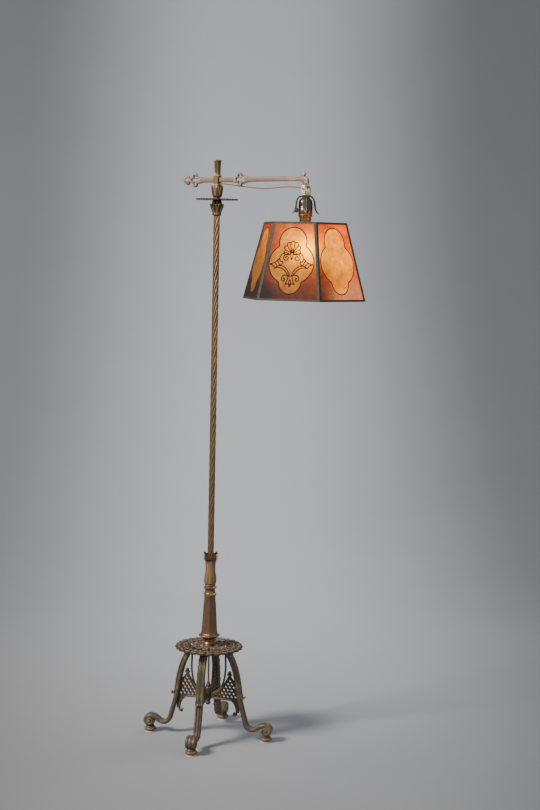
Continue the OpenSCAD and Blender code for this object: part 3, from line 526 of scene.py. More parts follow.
class LAMP_OT_stage(LampOperator, bpy.types.Operator):
    """Adds the camera, the floor with its curved backdrop, and the studio lights"""
    bl_idname = "lamp.stage"
    bl_label = "Stage"

    def build(self, sizes, light):
        scene = bpy.context.scene
        camera_data = bpy.data.cameras.new("studio_camera")
        camera_data.sensor_fit, camera_data.sensor_height, camera_data.lens = "VERTICAL", 24.0, 44.94
        camera = bpy.data.objects.new("studio_camera", camera_data)
        bpy.context.collection.objects.link(camera)
        camera.matrix_world = (Matrix.Translation((0, -3.9485, 1.29395))
                               @ Matrix.Rotation(math.radians(-2.149), 4, "Z")
                               @ Matrix.Rotation(math.radians(90 - 5.795), 4, "X")
                               @ Matrix.Rotation(math.radians(1.245), 4, "Z"))
        scene.camera = camera

        # One sheet of paper: a floor whose back edge is pulled up in a curve.
        backdrop = primitive("backdrop", "plane", size=1.0, location=(0, -0.75, 0))
        pick(backdrop, "VERT", lambda c: True)
        bpy.ops.transform.resize(value=(14.0, 4.5, 1.0), center_override=(0, -0.75, 0))
        pick(backdrop, "EDGE", lambda c: c.y > 1200)
        steps, bend = 12, 2.6
        for k in range(steps):
            a0, a1 = math.radians(90 / steps * k), math.radians(90 / steps * (k + 1))
            bpy.ops.mesh.extrude_region_move(TRANSFORM_OT_translate={"value": (
                0, bend * (math.sin(a1) - math.sin(a0)), bend * (math.cos(a0) - math.cos(a1)))})
        bpy.ops.mesh.extrude_region_move(TRANSFORM_OT_translate={"value": (0, 0, 5.0)})
        close_up(backdrop, 60.0)
        bpy.ops.object.shade_smooth()
        paper, out, coords = blank("matt_grey_backdrop_paper")
        fibre = add_node(paper, "ShaderNodeTexNoise", inputs={
            "Vector": coords.outputs["Object"], "Scale": 1 / (400 * MM), "Detail": 3.0})
        tone = add_node(paper, "ShaderNodeMix", {"data_type": "RGBA"}, {
            "Factor": fibre.outputs["Fac"], "A": linear("#b1b5bc"), "B": linear("#b8bcc3")})
        # Painted light and shade on the paper: palest behind the lamp, darker to both sides and towards the
        # front.
        across = add_node(paper, "ShaderNodeSeparateXYZ", inputs={"Vector": coords.outputs["Object"]})
        off = add_node(paper, "ShaderNodeMath", {"operation": "SUBTRACT"}, {0: across.outputs["X"], 1: 0.2})
        aside = add_node(paper, "ShaderNodeMath", {"operation": "ABSOLUTE"}, {0: off.outputs["Value"]})
        shade = add_node(paper, "ShaderNodeMapRange", {"interpolation_type": "SMOOTHSTEP"}, {
            "Value": aside.outputs["Value"], "From Min": 0.1, "From Max": 1.2, "To Min": 1.18,
            "To Max": 0.45})
        near = add_node(paper, "ShaderNodeMapRange", {"interpolation_type": "SMOOTHSTEP"}, {
            "Value": across.outputs["Y"], "From Min": -0.2, "From Max": 2.6, "To Min": 0.44, "To Max": 1.0})
        painted_light_both_ways = add_node(paper, "ShaderNodeMath", {"operation": "MULTIPLY"}, {
            0: shade.outputs["Result"], 1: near.outputs["Result"]})
        painted_light_grade = add_node(paper, "ShaderNodeVectorMath", {"operation": "SCALE"}, {
            0: tone.outputs["Result"], "Scale": painted_light_both_ways.outputs["Value"]})
        surface = add_node(paper, "ShaderNodeBsdfPrincipled", inputs={
            "Base Color": painted_light_grade.outputs["Vector"], "Roughness": 0.85})
        paper.node_tree.links.new(surface.outputs["BSDF"], out.inputs["Surface"])
        backdrop.data.materials.append(paper)

        world = bpy.data.worlds.new("studio")
        world.use_nodes = True
        world.node_tree.nodes["Background"].inputs["Color"].default_value = linear("#e6ebf2")
        world.node_tree.nodes["Background"].inputs["Strength"].default_value = 0.42
        scene.world = world
        for name, kind, power, size, place, aim, colour in (
                ("key_light", "AREA", 300, 1.1, (-3.1, -1.7, 3.3), (0, 0, 0.8), "#fff6ea"),
                ("fill_light", "AREA", 16, 1.8, (2.6, -2.2, 1.6), (0, 0, 0.8), "#eef3ff"),
                ("rim_light", "AREA", 14, 0.9, (1.6, 1.2, 2.4), (0, 0, 0.9), "#ffffff"),
                ("backdrop_light", "SPOT", 380, 0.5, (-0.5, -4.6, 3.0), (-0.22, 2.4, 0.95), "#f4f7ff")):
            lamp = bpy.data.lights.new(name, kind)
            lamp.energy, lamp.color = power, linear(colour)[:3]
            if kind == "AREA":
                lamp.size = size
            else:
                lamp.shadow_soft_size, lamp.spot_size, lamp.spot_blend = size, math.radians(31), 1.0
            source = bpy.data.objects.new(name, lamp)
            bpy.context.collection.objects.link(source)
            source.location = place
            source.rotation_euler = (Vector(aim) - Vector(place)).to_track_quat("-Z", "Y").to_euler()
        # The bulb's own light, which moves with the socket.
        glow = bpy.data.lights.new("bulb_light", "POINT")
        glow.energy, glow.color, glow.shadow_soft_size = light.bulb_power, linear("#ffc98a")[:3], 0.028
        bulb = bpy.data.objects.new("bulb_light", glow)
        bpy.context.collection.objects.link(bulb)
        low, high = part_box("bulb_glass")
        bulb.location = ((low[0] + high[0]) / 2, (low[1] + high[1]) / 2, low[2] + 0.03)
        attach(bulb, "socket")


# ---------------------------------------------------------------- lead

class LAMP_OT_lead(LampOperator, bpy.types.Operator):
    """Adds the cloth-covered lead that hangs along the arm to the socket"""
    bl_idname = "lamp.lead"
    bl_label = "Lead"

    def build(self, sizes, light):
        route = [(5, 0, -9.7), (14, 0, -9.7), (28, 1.5, -10.6), (44, 4, -12.2), (60, 5.5, -14.2),
                 (77, 6, -16.2), (94, 5.5, -18), (112, 3.5, -19.8), (130, 1.5, -21.4), (148, 0, -22.8),
                 (167, 0, -23.4), (188, 0, -22.2), (210, 0, -20.4), (230, 0, -19.8), (250, 0, -20),
                 (264, 0, -21), (274, 0, -22.6), (281, 0, -24.8), (287, 0, -28), (291, 0, -32),
                 (293, 0, -36.4), (293, 0, -40.5)]
        points = [ARM_PLACE @ Vector((x * MM, y * MM, (ARM_Z + z) * MM)) for x, y, z in route]
        curve = bpy.data.curves.new("arm_lead_cover", "CURVE")
        curve.dimensions = "3D"
        spline = curve.splines.new("POLY")
        spline.points.add(len(points) - 1)
        for point, at in zip(spline.points, points):
            point.co = (*at, 1)
        curve.bevel_depth = sizes.lead_diameter / 2 * 0.98
        curve.bevel_resolution = 4
        curve.use_fill_caps = True
        lead = bpy.data.objects.new("arm_lead_cover", curve)
        bpy.context.collection.objects.link(lead)
        curve.materials.append(FINISH["lead_cloth"])
        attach(lead, "arm")
        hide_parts("arm_lead")


# ---------------------------------------------------------------- carried-over parts

class LAMP_OT_cad_finishes(LampOperator, bpy.types.Operator):
    """Gives every part that keeps its own solid its finish"""
    bl_idname = "lamp.cad_finishes"
    bl_label = "Finishes"

    def build(self, sizes, light):
        slots = {row["node"]: row["material_slot"] for row in frame["record"]["subparts"]}
        for name, node in frame["nodes"].items():
            node.data.materials.clear()
            node.data.materials.append(FINISH[slots[name]])


# ---------------------------------------------------------------- legs

def ball(name, radius, place, stretch=(1, 1, 1), segments=12, rings=8):
    """A small rounded knob, drawn out to its shape."""
    knob = primitive(name, "uv_sphere", segments=segments, ring_count=rings, radius=radius * MM)
    bpy.ops.object.mode_set(mode="EDIT")
    bpy.ops.transform.resize(value=stretch, center_override=(0, 0, 0))
    bpy.ops.object.mode_set(mode="OBJECT")
    lay(knob, place)
    return close_up(knob, 60.0)


def at(x, y, z):
    """A move in millimetres."""
    return Matrix.Translation((x * MM, y * MM, z * MM))


class LAMP_OT_legs(LampOperator, bpy.types.Operator):
    """Adds the four scroll legs with their acanthus leaves and pierced brackets"""
    bl_idname = "lamp.legs"
    bl_label = "Legs"

    BAR = [(-10, 1), (-9.4, 4), (-7.2, 5.6), (-5.2, 5.9), (-3.9, 4.5), (-2.4, 5.9), (0, 6.5),
           (2.4, 5.9), (3.9, 4.5), (5.2, 5.9), (7.2, 5.6), (9.4, 4), (10, 1), (10, -2), (8.4, -4.9), (5, -6),
           (0, -6), (-5, -6), (-8.4, -4.9), (-10, -2)]
    LEAF = [(-10.6, 0.2), (-8.6, 2.5), (-6, 1.2), (-3.2, 2.7), (-1.5, 1.6), (0, 3.4), (1.5, 1.6),
            (3.2, 2.7), (6, 1.2), (8.6, 2.5), (10.6, 0.2), (9, -2), (0, -2), (-9, -2)]

    def bar(self, foot, eye_z):
        line = chain(bezier((46, 236), (68, 213), (77, 170), (82, 135), 14),
                     bezier((82, 135), (85.5, 107), (96, 76), (104, 44), 12),
                     bezier((104, 44), (110, 28), (124, 27), (133, 33), 8),
                     bezier((133, 33), (139, 37), (foot - 14, eye_z + 13.5), (foot, eye_z + 13.5), 8))
        stations = [(x, z, 1 if x < 125 else 1 + 0.35 * min(1, (x - 125) / 30), 1) for x, z in line]
        # The foot scroll winds in from its top, thinner and a little narrower as it goes.
        turns = 40
        for k in range(1, turns + 1):
            angle = math.radians(90 - 610 * k / turns)
            radius = 13.5 - 10.3 * (k / turns) ** 0.75
            stations.append((foot + radius * math.cos(angle), eye_z + radius * math.sin(angle),
                             1.35 + 0.08 * k / turns, 1 - 0.62 * k / turns))
        return line, sweep("leg_bar", self.BAR, stations)

    def leaf(self, line):
        upper = [p for p in line if p[1] > 108]
        dense = [tuple(a + (b - a) * t / 3 for a, b in zip(p, q)) for p, q in zip(upper, upper[1:])
                 for t in range(3)]
        stations = []
        for k, (x, z) in enumerate(dense):
            nxt = dense[min(k + 1, len(dense) - 1)]
            last = dense[max(k - 1, 0)]
            heading = math.atan2(nxt[1] - last[1], nxt[0] - last[0])
            out = 6.2
            tooth = 1.04 - 0.16 * ((k % 7) / 7)
            stations.append((x - out * math.sin(heading), z + out * math.cos(heading), tooth, 1))
        x, z = stations[-1][:2]
        # The tip rolls outwards.
        for k, (dx, dz) in enumerate([(1.6, -4), (4.6, -6.4), (8, -6), (9.6, -3), (8.6, -0.6)]):
            stations.append((x + dx, z + dz, 0.95 - 0.13 * k, 0.9 - 0.12 * k))
        return sweep("leg_leaf", self.LEAF, stations)

    def bracket(self):
        floor, pitch = 105, 10.5
        inner = [(0, 9.6), (10, 9.6), (18, 22), (28, 33), (38, 40), (48, 46), (60, 53), (70, 57)]
        outer = [(-34, 86), (0, 86), (14, 84), (32, 80), (48, 74), (56, 66), (64, 61), (70, 58)]

        def across(rows, y):
            for (y0, r0), (y1, r1) in zip(rows, rows[1:]):
                if y0 <= y <= y1:
                    return r0 + (r1 - r0) * (y - y0) / (y1 - y0)
            return rows[-1][1]

        outlines = [[(r, floor + y) for y, r in inner] + [(r, floor + y) for y, r in reversed(outer)]
                    + [(80, 72), (76, 91), (68, 102)]]
        for row in range(7):
            y = 8 + row * 8.6
            first, last = across(inner, y) + 5.4, across(outer, y) - 7.6
            x = 12 + (row % 2) * pitch / 2
            while x < 90:
                if first < x < last:
                    # Four-lobed piercing
                    outlines.append([(x + r * math.cos(t), floor + y + r * math.sin(t)) for k in range(20)
                                     for t in [2 * math.pi * k / 20] for r in [3.0 + 0.75 * math.cos(4 * t)]])
                x += pitch
        web = flat("web", outlines, 6, 0.9)
        strut = chain([(46, 241), (46, 210)], bezier((46, 210), (49, 178), (43, 147), (34, 135), 10),
                      bezier((34, 135), (26, 126), (18, 120), (10, 118), 5))
        arch = chain([(9, 107.2), (34, 107.2)], bezier((34, 107.2), (58, 108), (75, 107), (79, 74), 12),
                     bezier((79, 74), (80, 64), (72, 60), (70.5, 66), 6),
                     bezier((70.5, 66), (70, 71), (76, 71), (76, 67), 4))
        rope = wire("bars", [([(x, z, 0) for x, z in strut], False), ([(x, z, 0) for x, z in arch], False)],
                    5.2, Matrix.Rotation(math.pi / 2, 4, "X"), sides=3)
        # Beads between the piercings and a bud on the tip
        beads = []
        for row in range(7):
            y = 8 + (row + 0.5) * 8.6
            x = 12 + (row % 2) * pitch / 2
            while x < 90:
                if across(inner, y) + 3.5 < x < across(outer, y) - 5.5:
                    beads.append(ball("bead", 1.7, at(x, -2.8, floor + y), (1, 0.7, 1), 8, 6))
                    beads.append(ball("bead", 1.7, at(x, 2.8, floor + y), (1, 0.7, 1), 8, 6))
                x += pitch
        bud = ball("bud", 4.4, at(58, 0, 177), (1, 1, 1.35))
        lobes = [ball("lobe", 3.2, at(58 + s * 4, 0, 172.5), (1.1, 1, 0.9)) for s in (-1, 1)]
        knob = ball("knob", 4.8, at(74, 0, 66.5), (1, 1.1, 1))
        bracket = join("bracket", web, rope, bud, knob, *lobes, *beads)
        bracket.data.materials.append(FINISH["plate_iron"])
        return bracket

    def build(self, sizes, light):
        low, high = span("bun_foot_right")
        foot = math.hypot((low[0] + high[0]) / 2, (low[1] + high[1]) / 2)
        eye_z = high[2] + 18.5
        line, bar = self.bar(foot, eye_z)
        core = turned("scroll_core", [(10.4, -11), (11.4, -10), (11.4, 10), (10.4, 11)], 32)
        lay(core, at(foot, 0, eye_z) @ Matrix.Rotation(math.pi / 2, 4, "X"))
        eyes = [ball("eye", 4.6, at(foot, s * 12.4, eye_z), (1, 0.8, 1)) for s in (-1, 1)]
        pad = primitive("pad", "cube", size=1)
        lay(pad, at(49, 0, 239) @ Matrix.Diagonal((30 * MM, 20 * MM, 7.4 * MM, 1)))
        modify(pad, "BEVEL", width=1.5 * MM, segments=2)
        saddle = turned("saddle", [(9, 12.6), (11, 12.8), (12, 14.5), (9.5, 18)], 32, at=(foot, 0))
        castings = [bar, self.leaf(line), core, pad, saddle, *eyes]
        for casting in castings:
            casting.data.materials.append(FINISH["leg_iron"])
        leg = join("leg", *castings, self.bracket())
        for i, side in enumerate(LEGS):
            twin = leg.copy()
            twin.data = leg.data.copy()
            bpy.context.collection.objects.link(twin)
            twin.name = twin.data.name = f"scroll_leg_{side}"
            lay(twin, Matrix.Rotation(BASE_TURN + i * math.pi / 2, 4, "Z"))
            ride(twin, "leg_iron", "base", f"leg_{side}")
        bpy.data.objects.remove(leg)


class LAMP_OT_plate(LampOperator, bpy.types.Operator):
    """Adds the openwork plate with its scalloped rim, scrolls and beads"""
    bl_idname = "lamp.plate"
    bl_label = "Plate"

    def build(self, sizes, light):
        low, high = span("base_plate")
        z, radius = low[2], (high[0] - low[0]) / 2
        lobes = 24
        rim = []
        for k in range(lobes * 8):
            t = 2 * math.pi * k / (lobes * 8)
            rim.append(((radius - 6.8 + 6.6 * abs(math.cos(lobes / 2 * t)) ** 0.55) * math.cos(t),
                        (radius - 6.8 + 6.6 * abs(math.cos(lobes / 2 * t)) ** 0.55) * math.sin(t)))
        outlines = [rim]
        for k in range(12):
            a = math.radians(15 + 30 * k)

            def leaf_hole(r0, length, width, turn):
                c = (r0 * math.cos(a + turn), r0 * math.sin(a + turn))
                pts = []
                for j in range(14):
                    t = 2 * math.pi * j / 14
                    u, v = length / 2 * math.cos(t), width / 2 * math.sin(t) * (1 - 0.35 * math.cos(t))
                    pts.append((c[0] + u * math.cos(a + turn) - v * math.sin(a + turn),
                                c[1] + u * math.sin(a + turn) + v * math.cos(a + turn)))
                return pts

            outlines.append(leaf_hole(54, 20, 11, 0))
            outlines.append(leaf_hole(33, 11, 6.5, 0))
            outlines.append(leaf_hole(44, 14, 6.5, math.radians(15)))
            for s in (-1, 1):
                outlines.append(leaf_hole(73, 9, 7, math.radians(7.5 * s)))
        flat_down = at(0, 0, z + 2.5) @ Matrix.Rotation(-math.pi / 2, 4, "X")
        sheet = flat("sheet", outlines, 5, 1.3, flat_down)
        # One twelfth of the relief: two C-scrolls back to back, a leaf between them, and beads at the rim
        strokes = []
        for s in (-1, 1):
            spiral = [((62 + (6.4 - 0.036 * d) * math.cos(math.radians(d + 150))),
                       s * (7.6 + (6.4 - 0.036 * d) * math.sin(math.radians(d + 150))))
                      for d in range(0, 150, 15)]
            stem = bezier((34, s * 2.2), (42, s * 11), (52, s * 10), (56.4, s * 10.6), 8)
            strokes.append(([(x, y, 0) for x, y in stem], False))
            strokes.append(([(x, y, 0) for x, y in spiral], False))
            small = [((40 + (3.8 - 0.012 * d) * math.cos(math.radians(d))),
                      s * (4.4 + (3.8 - 0.012 * d) * math.sin(math.radians(d)))) for d in range(-60, 220, 20)]
            strokes.append(([(x, y, 0) for x, y in small], False))
        strokes.append(([(44, 0, 0), (58, 0, 1.2), (69, 0, 0)], False))
        relief = wire("relief", strokes, 3.4, at(0, 0, z + 5.0), flatten=0.8)
        parts = [relief]
        for s, r, size in ((-1, 84, 3.6), (1, 84, 3.6), (-1, 68.5, 2.0), (1, 68.5, 2.0), (0, 70, 3.0),
                           (0, 47, 2.6)):
            turn = math.radians(7.5 * s)
            parts.append(ball("bead", size, at(r * math.cos(turn), r * math.sin(turn), z + 5),
                              (1, 1, 0.7), 10, 6))
        for d in (-10, -5, 0, 5, 10):
            turn = math.radians(d + 2.5)
            parts.append(ball("bead", 1.5, at(78.4 * math.cos(turn), 78.4 * math.sin(turn), z + 5),
                              (1, 1, 0.8), 8, 6))
        twelfth = join("relief", *parts)
        relief = copies(twelfth, "relief", 12)
        bands = [turned("band", [(r - 1.6, z + 4.6), (r - 1.2, z + 6.1), (r, z + 6.5), (r + 1.2, z + 6.1),
                                 (r + 1.6, z + 4.6)], 72)
                 for r in (27.5,)]
        rings = wire("rings", [([(r * math.cos(math.radians(3 * k)), r * math.sin(math.radians(3 * k)), 0)
                                 for k in range(120)], True) for r in (30, 66, 81)], 2.4, at(0, 0, z + 5),
                     flatten=0.7)
        edge = join("plate", sheet, relief, rings, *bands)
        lay(edge, Matrix.Rotation(BASE_TURN, 4, "Z"))
        finish(edge, "plate_iron", "base", "base_plate")


# ---------------------------------------------------------------- column

class LAMP_OT_column(LampOperator, bpy.types.Operator):
    """Adds the octagonal column, its rings, and the leaf vase with its notched crown"""
    bl_idname = "lamp.column"
    bl_label = "Column"

    def build(self, sizes, light):
        z = span("octagonal_column")[0][2]
        column = turned("octagonal_shaft", [
            (14, z), (15.5, z + 0.6), (18, z + 3), (22.5, z + 5.6), (26.6, z + 7.6), (28.5, z + 9),
            (28.5, z + 11.4), (26.8, z + 12.8), (23.6, z + 14), (22, z + 16), (21.3, z + 19), (20.7, z + 24),
            (18.6, z + 60), (16.4, z + 95), (14.8, z + 112), (15.6, z + 115), (15.6, z + 117.4),
            (14.6, z + 118.9)], 8, smooth=20)
        modify(column, "BEVEL", width=0.7 * MM, segments=2, angle_limit=math.radians(28))
        close_up(column, 25)
        finish(column, "column_bronze", "base", "octagonal_column")

        z = span("column_collar")[0][2]
        collar = turned("round_collar", [
            (16.4, z), (17, z + 0.8), (17, z + 3), (16.2, z + 4), (16.6, z + 5.4), (16.9, z + 7.4),
            (15.8, z + 9.4), (14.2, z + 11), (13.4, z + 13), (13.6, z + 15.4), (14.6, z + 17.2),
            (14.4, z + 18)], 72)
        finish(collar, "column_bronze", "base", "column_collar")

        z = span("brass_ring")[0][2]
        ring = turned("ring", [
            (14.2, z + 0.05), (15.6, z + 0.3), (16.9, z + 1.2), (17.3, z + 2.9), (16.9, z + 4.4),
            (15.4, z + 5.4), (14.6, z + 5.9), (14.3, z + 6.6), (14.7, z + 7.6), (14.4, z + 8.9)], 72)
        finish(ring, "ring_brass", "base", "brass_ring")

        z = span("knife_ring")[0][2]
        knife = turned("knife", [
            (13.2, z + 0.05), (13.9, z + 0.8), (13.5, z + 2), (13.3, z + 6.4), (14, z + 8), (16.2, z + 9.8),
            (17.6, z + 11),
            (17.7, z + 12), (16.4, z + 13), (14.4, z + 14), (13.5, z + 15.4), (13.8, z + 17.6),
            (14.6, z + 19), (14.2, z + 19.9)], 72)
        finish(knife, "column_bronze", "base", "knife_ring")
        self.vase()

    def vase(self):
        z = span("leaf_vase")[0][2]
        rise = [(0.05, 14.2), (2, 15.8), (5, 16.4), (12, 16.6), (20, 16.3), (26, 15.2),
                (32, 13.8), (40, 13.3), (48, 13.4), (58, 14.2), (64, 15.4), (68, 16.4)]
        body = turned("body", [(r, z + h) for h, r in rise], 8, turn=math.radians(22.5), smooth=25)
        modify(body, "BEVEL", width=0.8 * MM, segments=2, angle_limit=math.radians(25))

        def apothem(h):
            for (h0, r0), (h1, r1) in zip(rise, rise[1:]):
                if h0 <= h <= h1:
                    return (r0 + (r1 - r0) * (h - h0) / (h1 - h0)) * math.cos(math.radians(22.5))
            return rise[-1][1] * math.cos(math.radians(22.5))

        # A braid of paired leaflets up the middle of a face
        leaflets = []
        for k in range(11):
            h = 5 + k * 5.5
            for s in (-1, 1):
                leaflets.append(ball("leaflet", 1.0, at(apothem(h) + 0.1, s * 2.1, z + h)
                                     @ Matrix.Rotation(math.radians(s * 38), 4, "X"),
                                     (0.95, 1.35, 3.3), 8, 6))
            leaflets.append(ball("seed", 1.0, at(apothem(h + 2.7) + 0.3, 0, z + h + 2.7),
                                 (0.8, 0.8, 1.1), 8, 6))
        edge = wire("frame", [([(apothem(h) + 0.1, 4.7, z + h) for h in range(3, 67, 4)], False),
                              ([(apothem(h) + 0.1, -4.7, z + h) for h in range(3, 67, 4)], False)], 1.0)
        braid = copies(join("braid", edge, *leaflets), "braids", 8)
        # Square crown: four notched sides
        side = flat("side", [[(-18.5, 0), (18.5, 0), (18.5, 15), (17, 16), (14.4, 15.4), (8, 11.4), (3, 8.2),
                              (0, 7.2), (-3, 8.2),
                              (-8, 11.4), (-14.4, 15.4), (-17, 16), (-18.5, 15)]], 3.4, 0.7,
                    Matrix.Rotation(math.pi / 2, 4, "Z") @ at(0, -16.7, z + 68))
        sides = copies(side, "sides", 4)
        base = turned("base", [(22, z + 67.6), (23.4, z + 68.4), (23.4, z + 70), (22, z + 71)], 4,
                      turn=math.pi / 4)
        vase = join("vase", body, braid, sides, base)
        finish(vase, "leaf_bronze", "base", "leaf_vase")


# ---------------------------------------------------------------- pole

class LAMP_OT_pole(LampOperator, bpy.types.Operator):
    """Adds the rope-twist pole and the two leaf cups at its top"""
    bl_idname = "lamp.pole"
    bl_label = "Pole"

    def rope(self, sizes):
        low, high = span("rope_casing")
        radius, z0, z1 = (high[0] - low[0]) / 2, low[2], high[2]
        strands = sizes.strands
        # Each strand is a round bead in the section, with a narrow groove to the next.
        steps = 220
        rope = turned("rope", [(radius, z0 + (z1 - z0) * k / steps) for k in range(steps + 1)], strands * 10,
                      ring=lambda t: 1 - 0.24 * (1 - abs(math.cos(strands * t / 2)) ** 0.7))
        modify(rope, "SIMPLE_DEFORM", deform_method="TWIST", deform_axis="Z",
               angle=2 * math.pi * (z1 - z0) * MM / sizes.lead_of_twist)
        close_up(rope, 50)
        finish(rope, "pole_bronze", "base", "rope_casing")

    def cup(self, name, node, rise, line, width, count, turn=0.0):
        """A turned cup with a row of leaves laid on it, points up."""
        z = span(node)[0][2]
        body = turned("body", [(r, z + h) for h, r in rise], 48)
        section = [(-1, 0), (-0.72, 0.9), (-0.3, 0.5), (0, 1.3), (0.3, 0.5), (0.72, 0.9), (1, 0), (0.6, -0.8),
                   (-0.6, -0.8)]
        stations = [(r, z + h, width * w, d) for h, r, w, d in line]
        leaf = sweep("leaf", section, stations)
        leaves = copies(leaf, "leaves", count, turn)
        return finish(join(name, body, leaves), "leaf_bronze", "base", node)

    def build(self, sizes, light):
        self.rope(sizes)
        self.cup("lower_cup", "lower_leaf_cup",
                 [(0.05, 10.6), (1, 11.4), (3, 11.8), (5, 11), (10, 11), (16, 12.4), (22, 14),
                  (27, 14.6), (30, 14), (33, 12.4), (36, 12.4), (38, 11.4), (39.9, 10.8)],
                 [(6, 11.2, 0.35, 1), (9, 11.4, 0.7, 1), (13, 12.2, 1.0, 1), (17, 14, 1.05, 1),
                  (21, 16, 1.0, 1), (25, 17.1, 0.85, 1), (28, 17.6, 0.6, 0.9), (30.6, 17.5, 0.3, 0.8)],
                 5.4, 8, math.radians(22.5))
        self.cup("upper_cup", "upper_leaf_cup",
                 [(0.05, 9.2), (1.4, 9.6), (3, 8.8), (6, 10.4), (10, 12), (18, 13.2), (25, 13.8), (30, 13.4),
                  (34.4, 12.6)],
                 [(4, 9.8, 0.4, 1), (7, 11.4, 0.8, 1), (12, 12.8, 1.05, 1), (18, 13.8, 1.1, 1),
                  (24, 14.4, 1.0, 1), (29, 14.8, 0.8, 1), (32, 15, 0.5, 0.9), (34, 14.8, 0.25, 0.8)], 4.8, 8)
        # Beads round the edge of the gallery disc
        low, high = span("gallery_disc")
        bead = ball("bead", 2.3, at((high[0] - low[0]) / 2 - 2.3, 0, (low[2] + high[2]) / 2),
                    (1, 1, 0.9), 12, 8)
        finish(copies(bead, "disc_beads", 36), "leaf_bronze", "base")


# ---------------------------------------------------------------- arm

def lobed(circles, count=64, about=(0, 0)):
    """The outline of circles (x, y, radius) melted together, seen from a point inside them all."""
    points = []
    for k in range(count):
        t = 2 * math.pi * k / count
        dx, dy = math.cos(t), math.sin(t)
        reach = 0.0
        for x, y, r in circles:
            x, y = x - about[0], y - about[1]
            along = x * dx + y * dy
            inside = r * r - (x * x + y * y - along * along)
            if inside > 0:
                reach = max(reach, along + math.sqrt(inside))
        points.append((about[0] + reach * dx, about[1] + reach * dy))
    return points


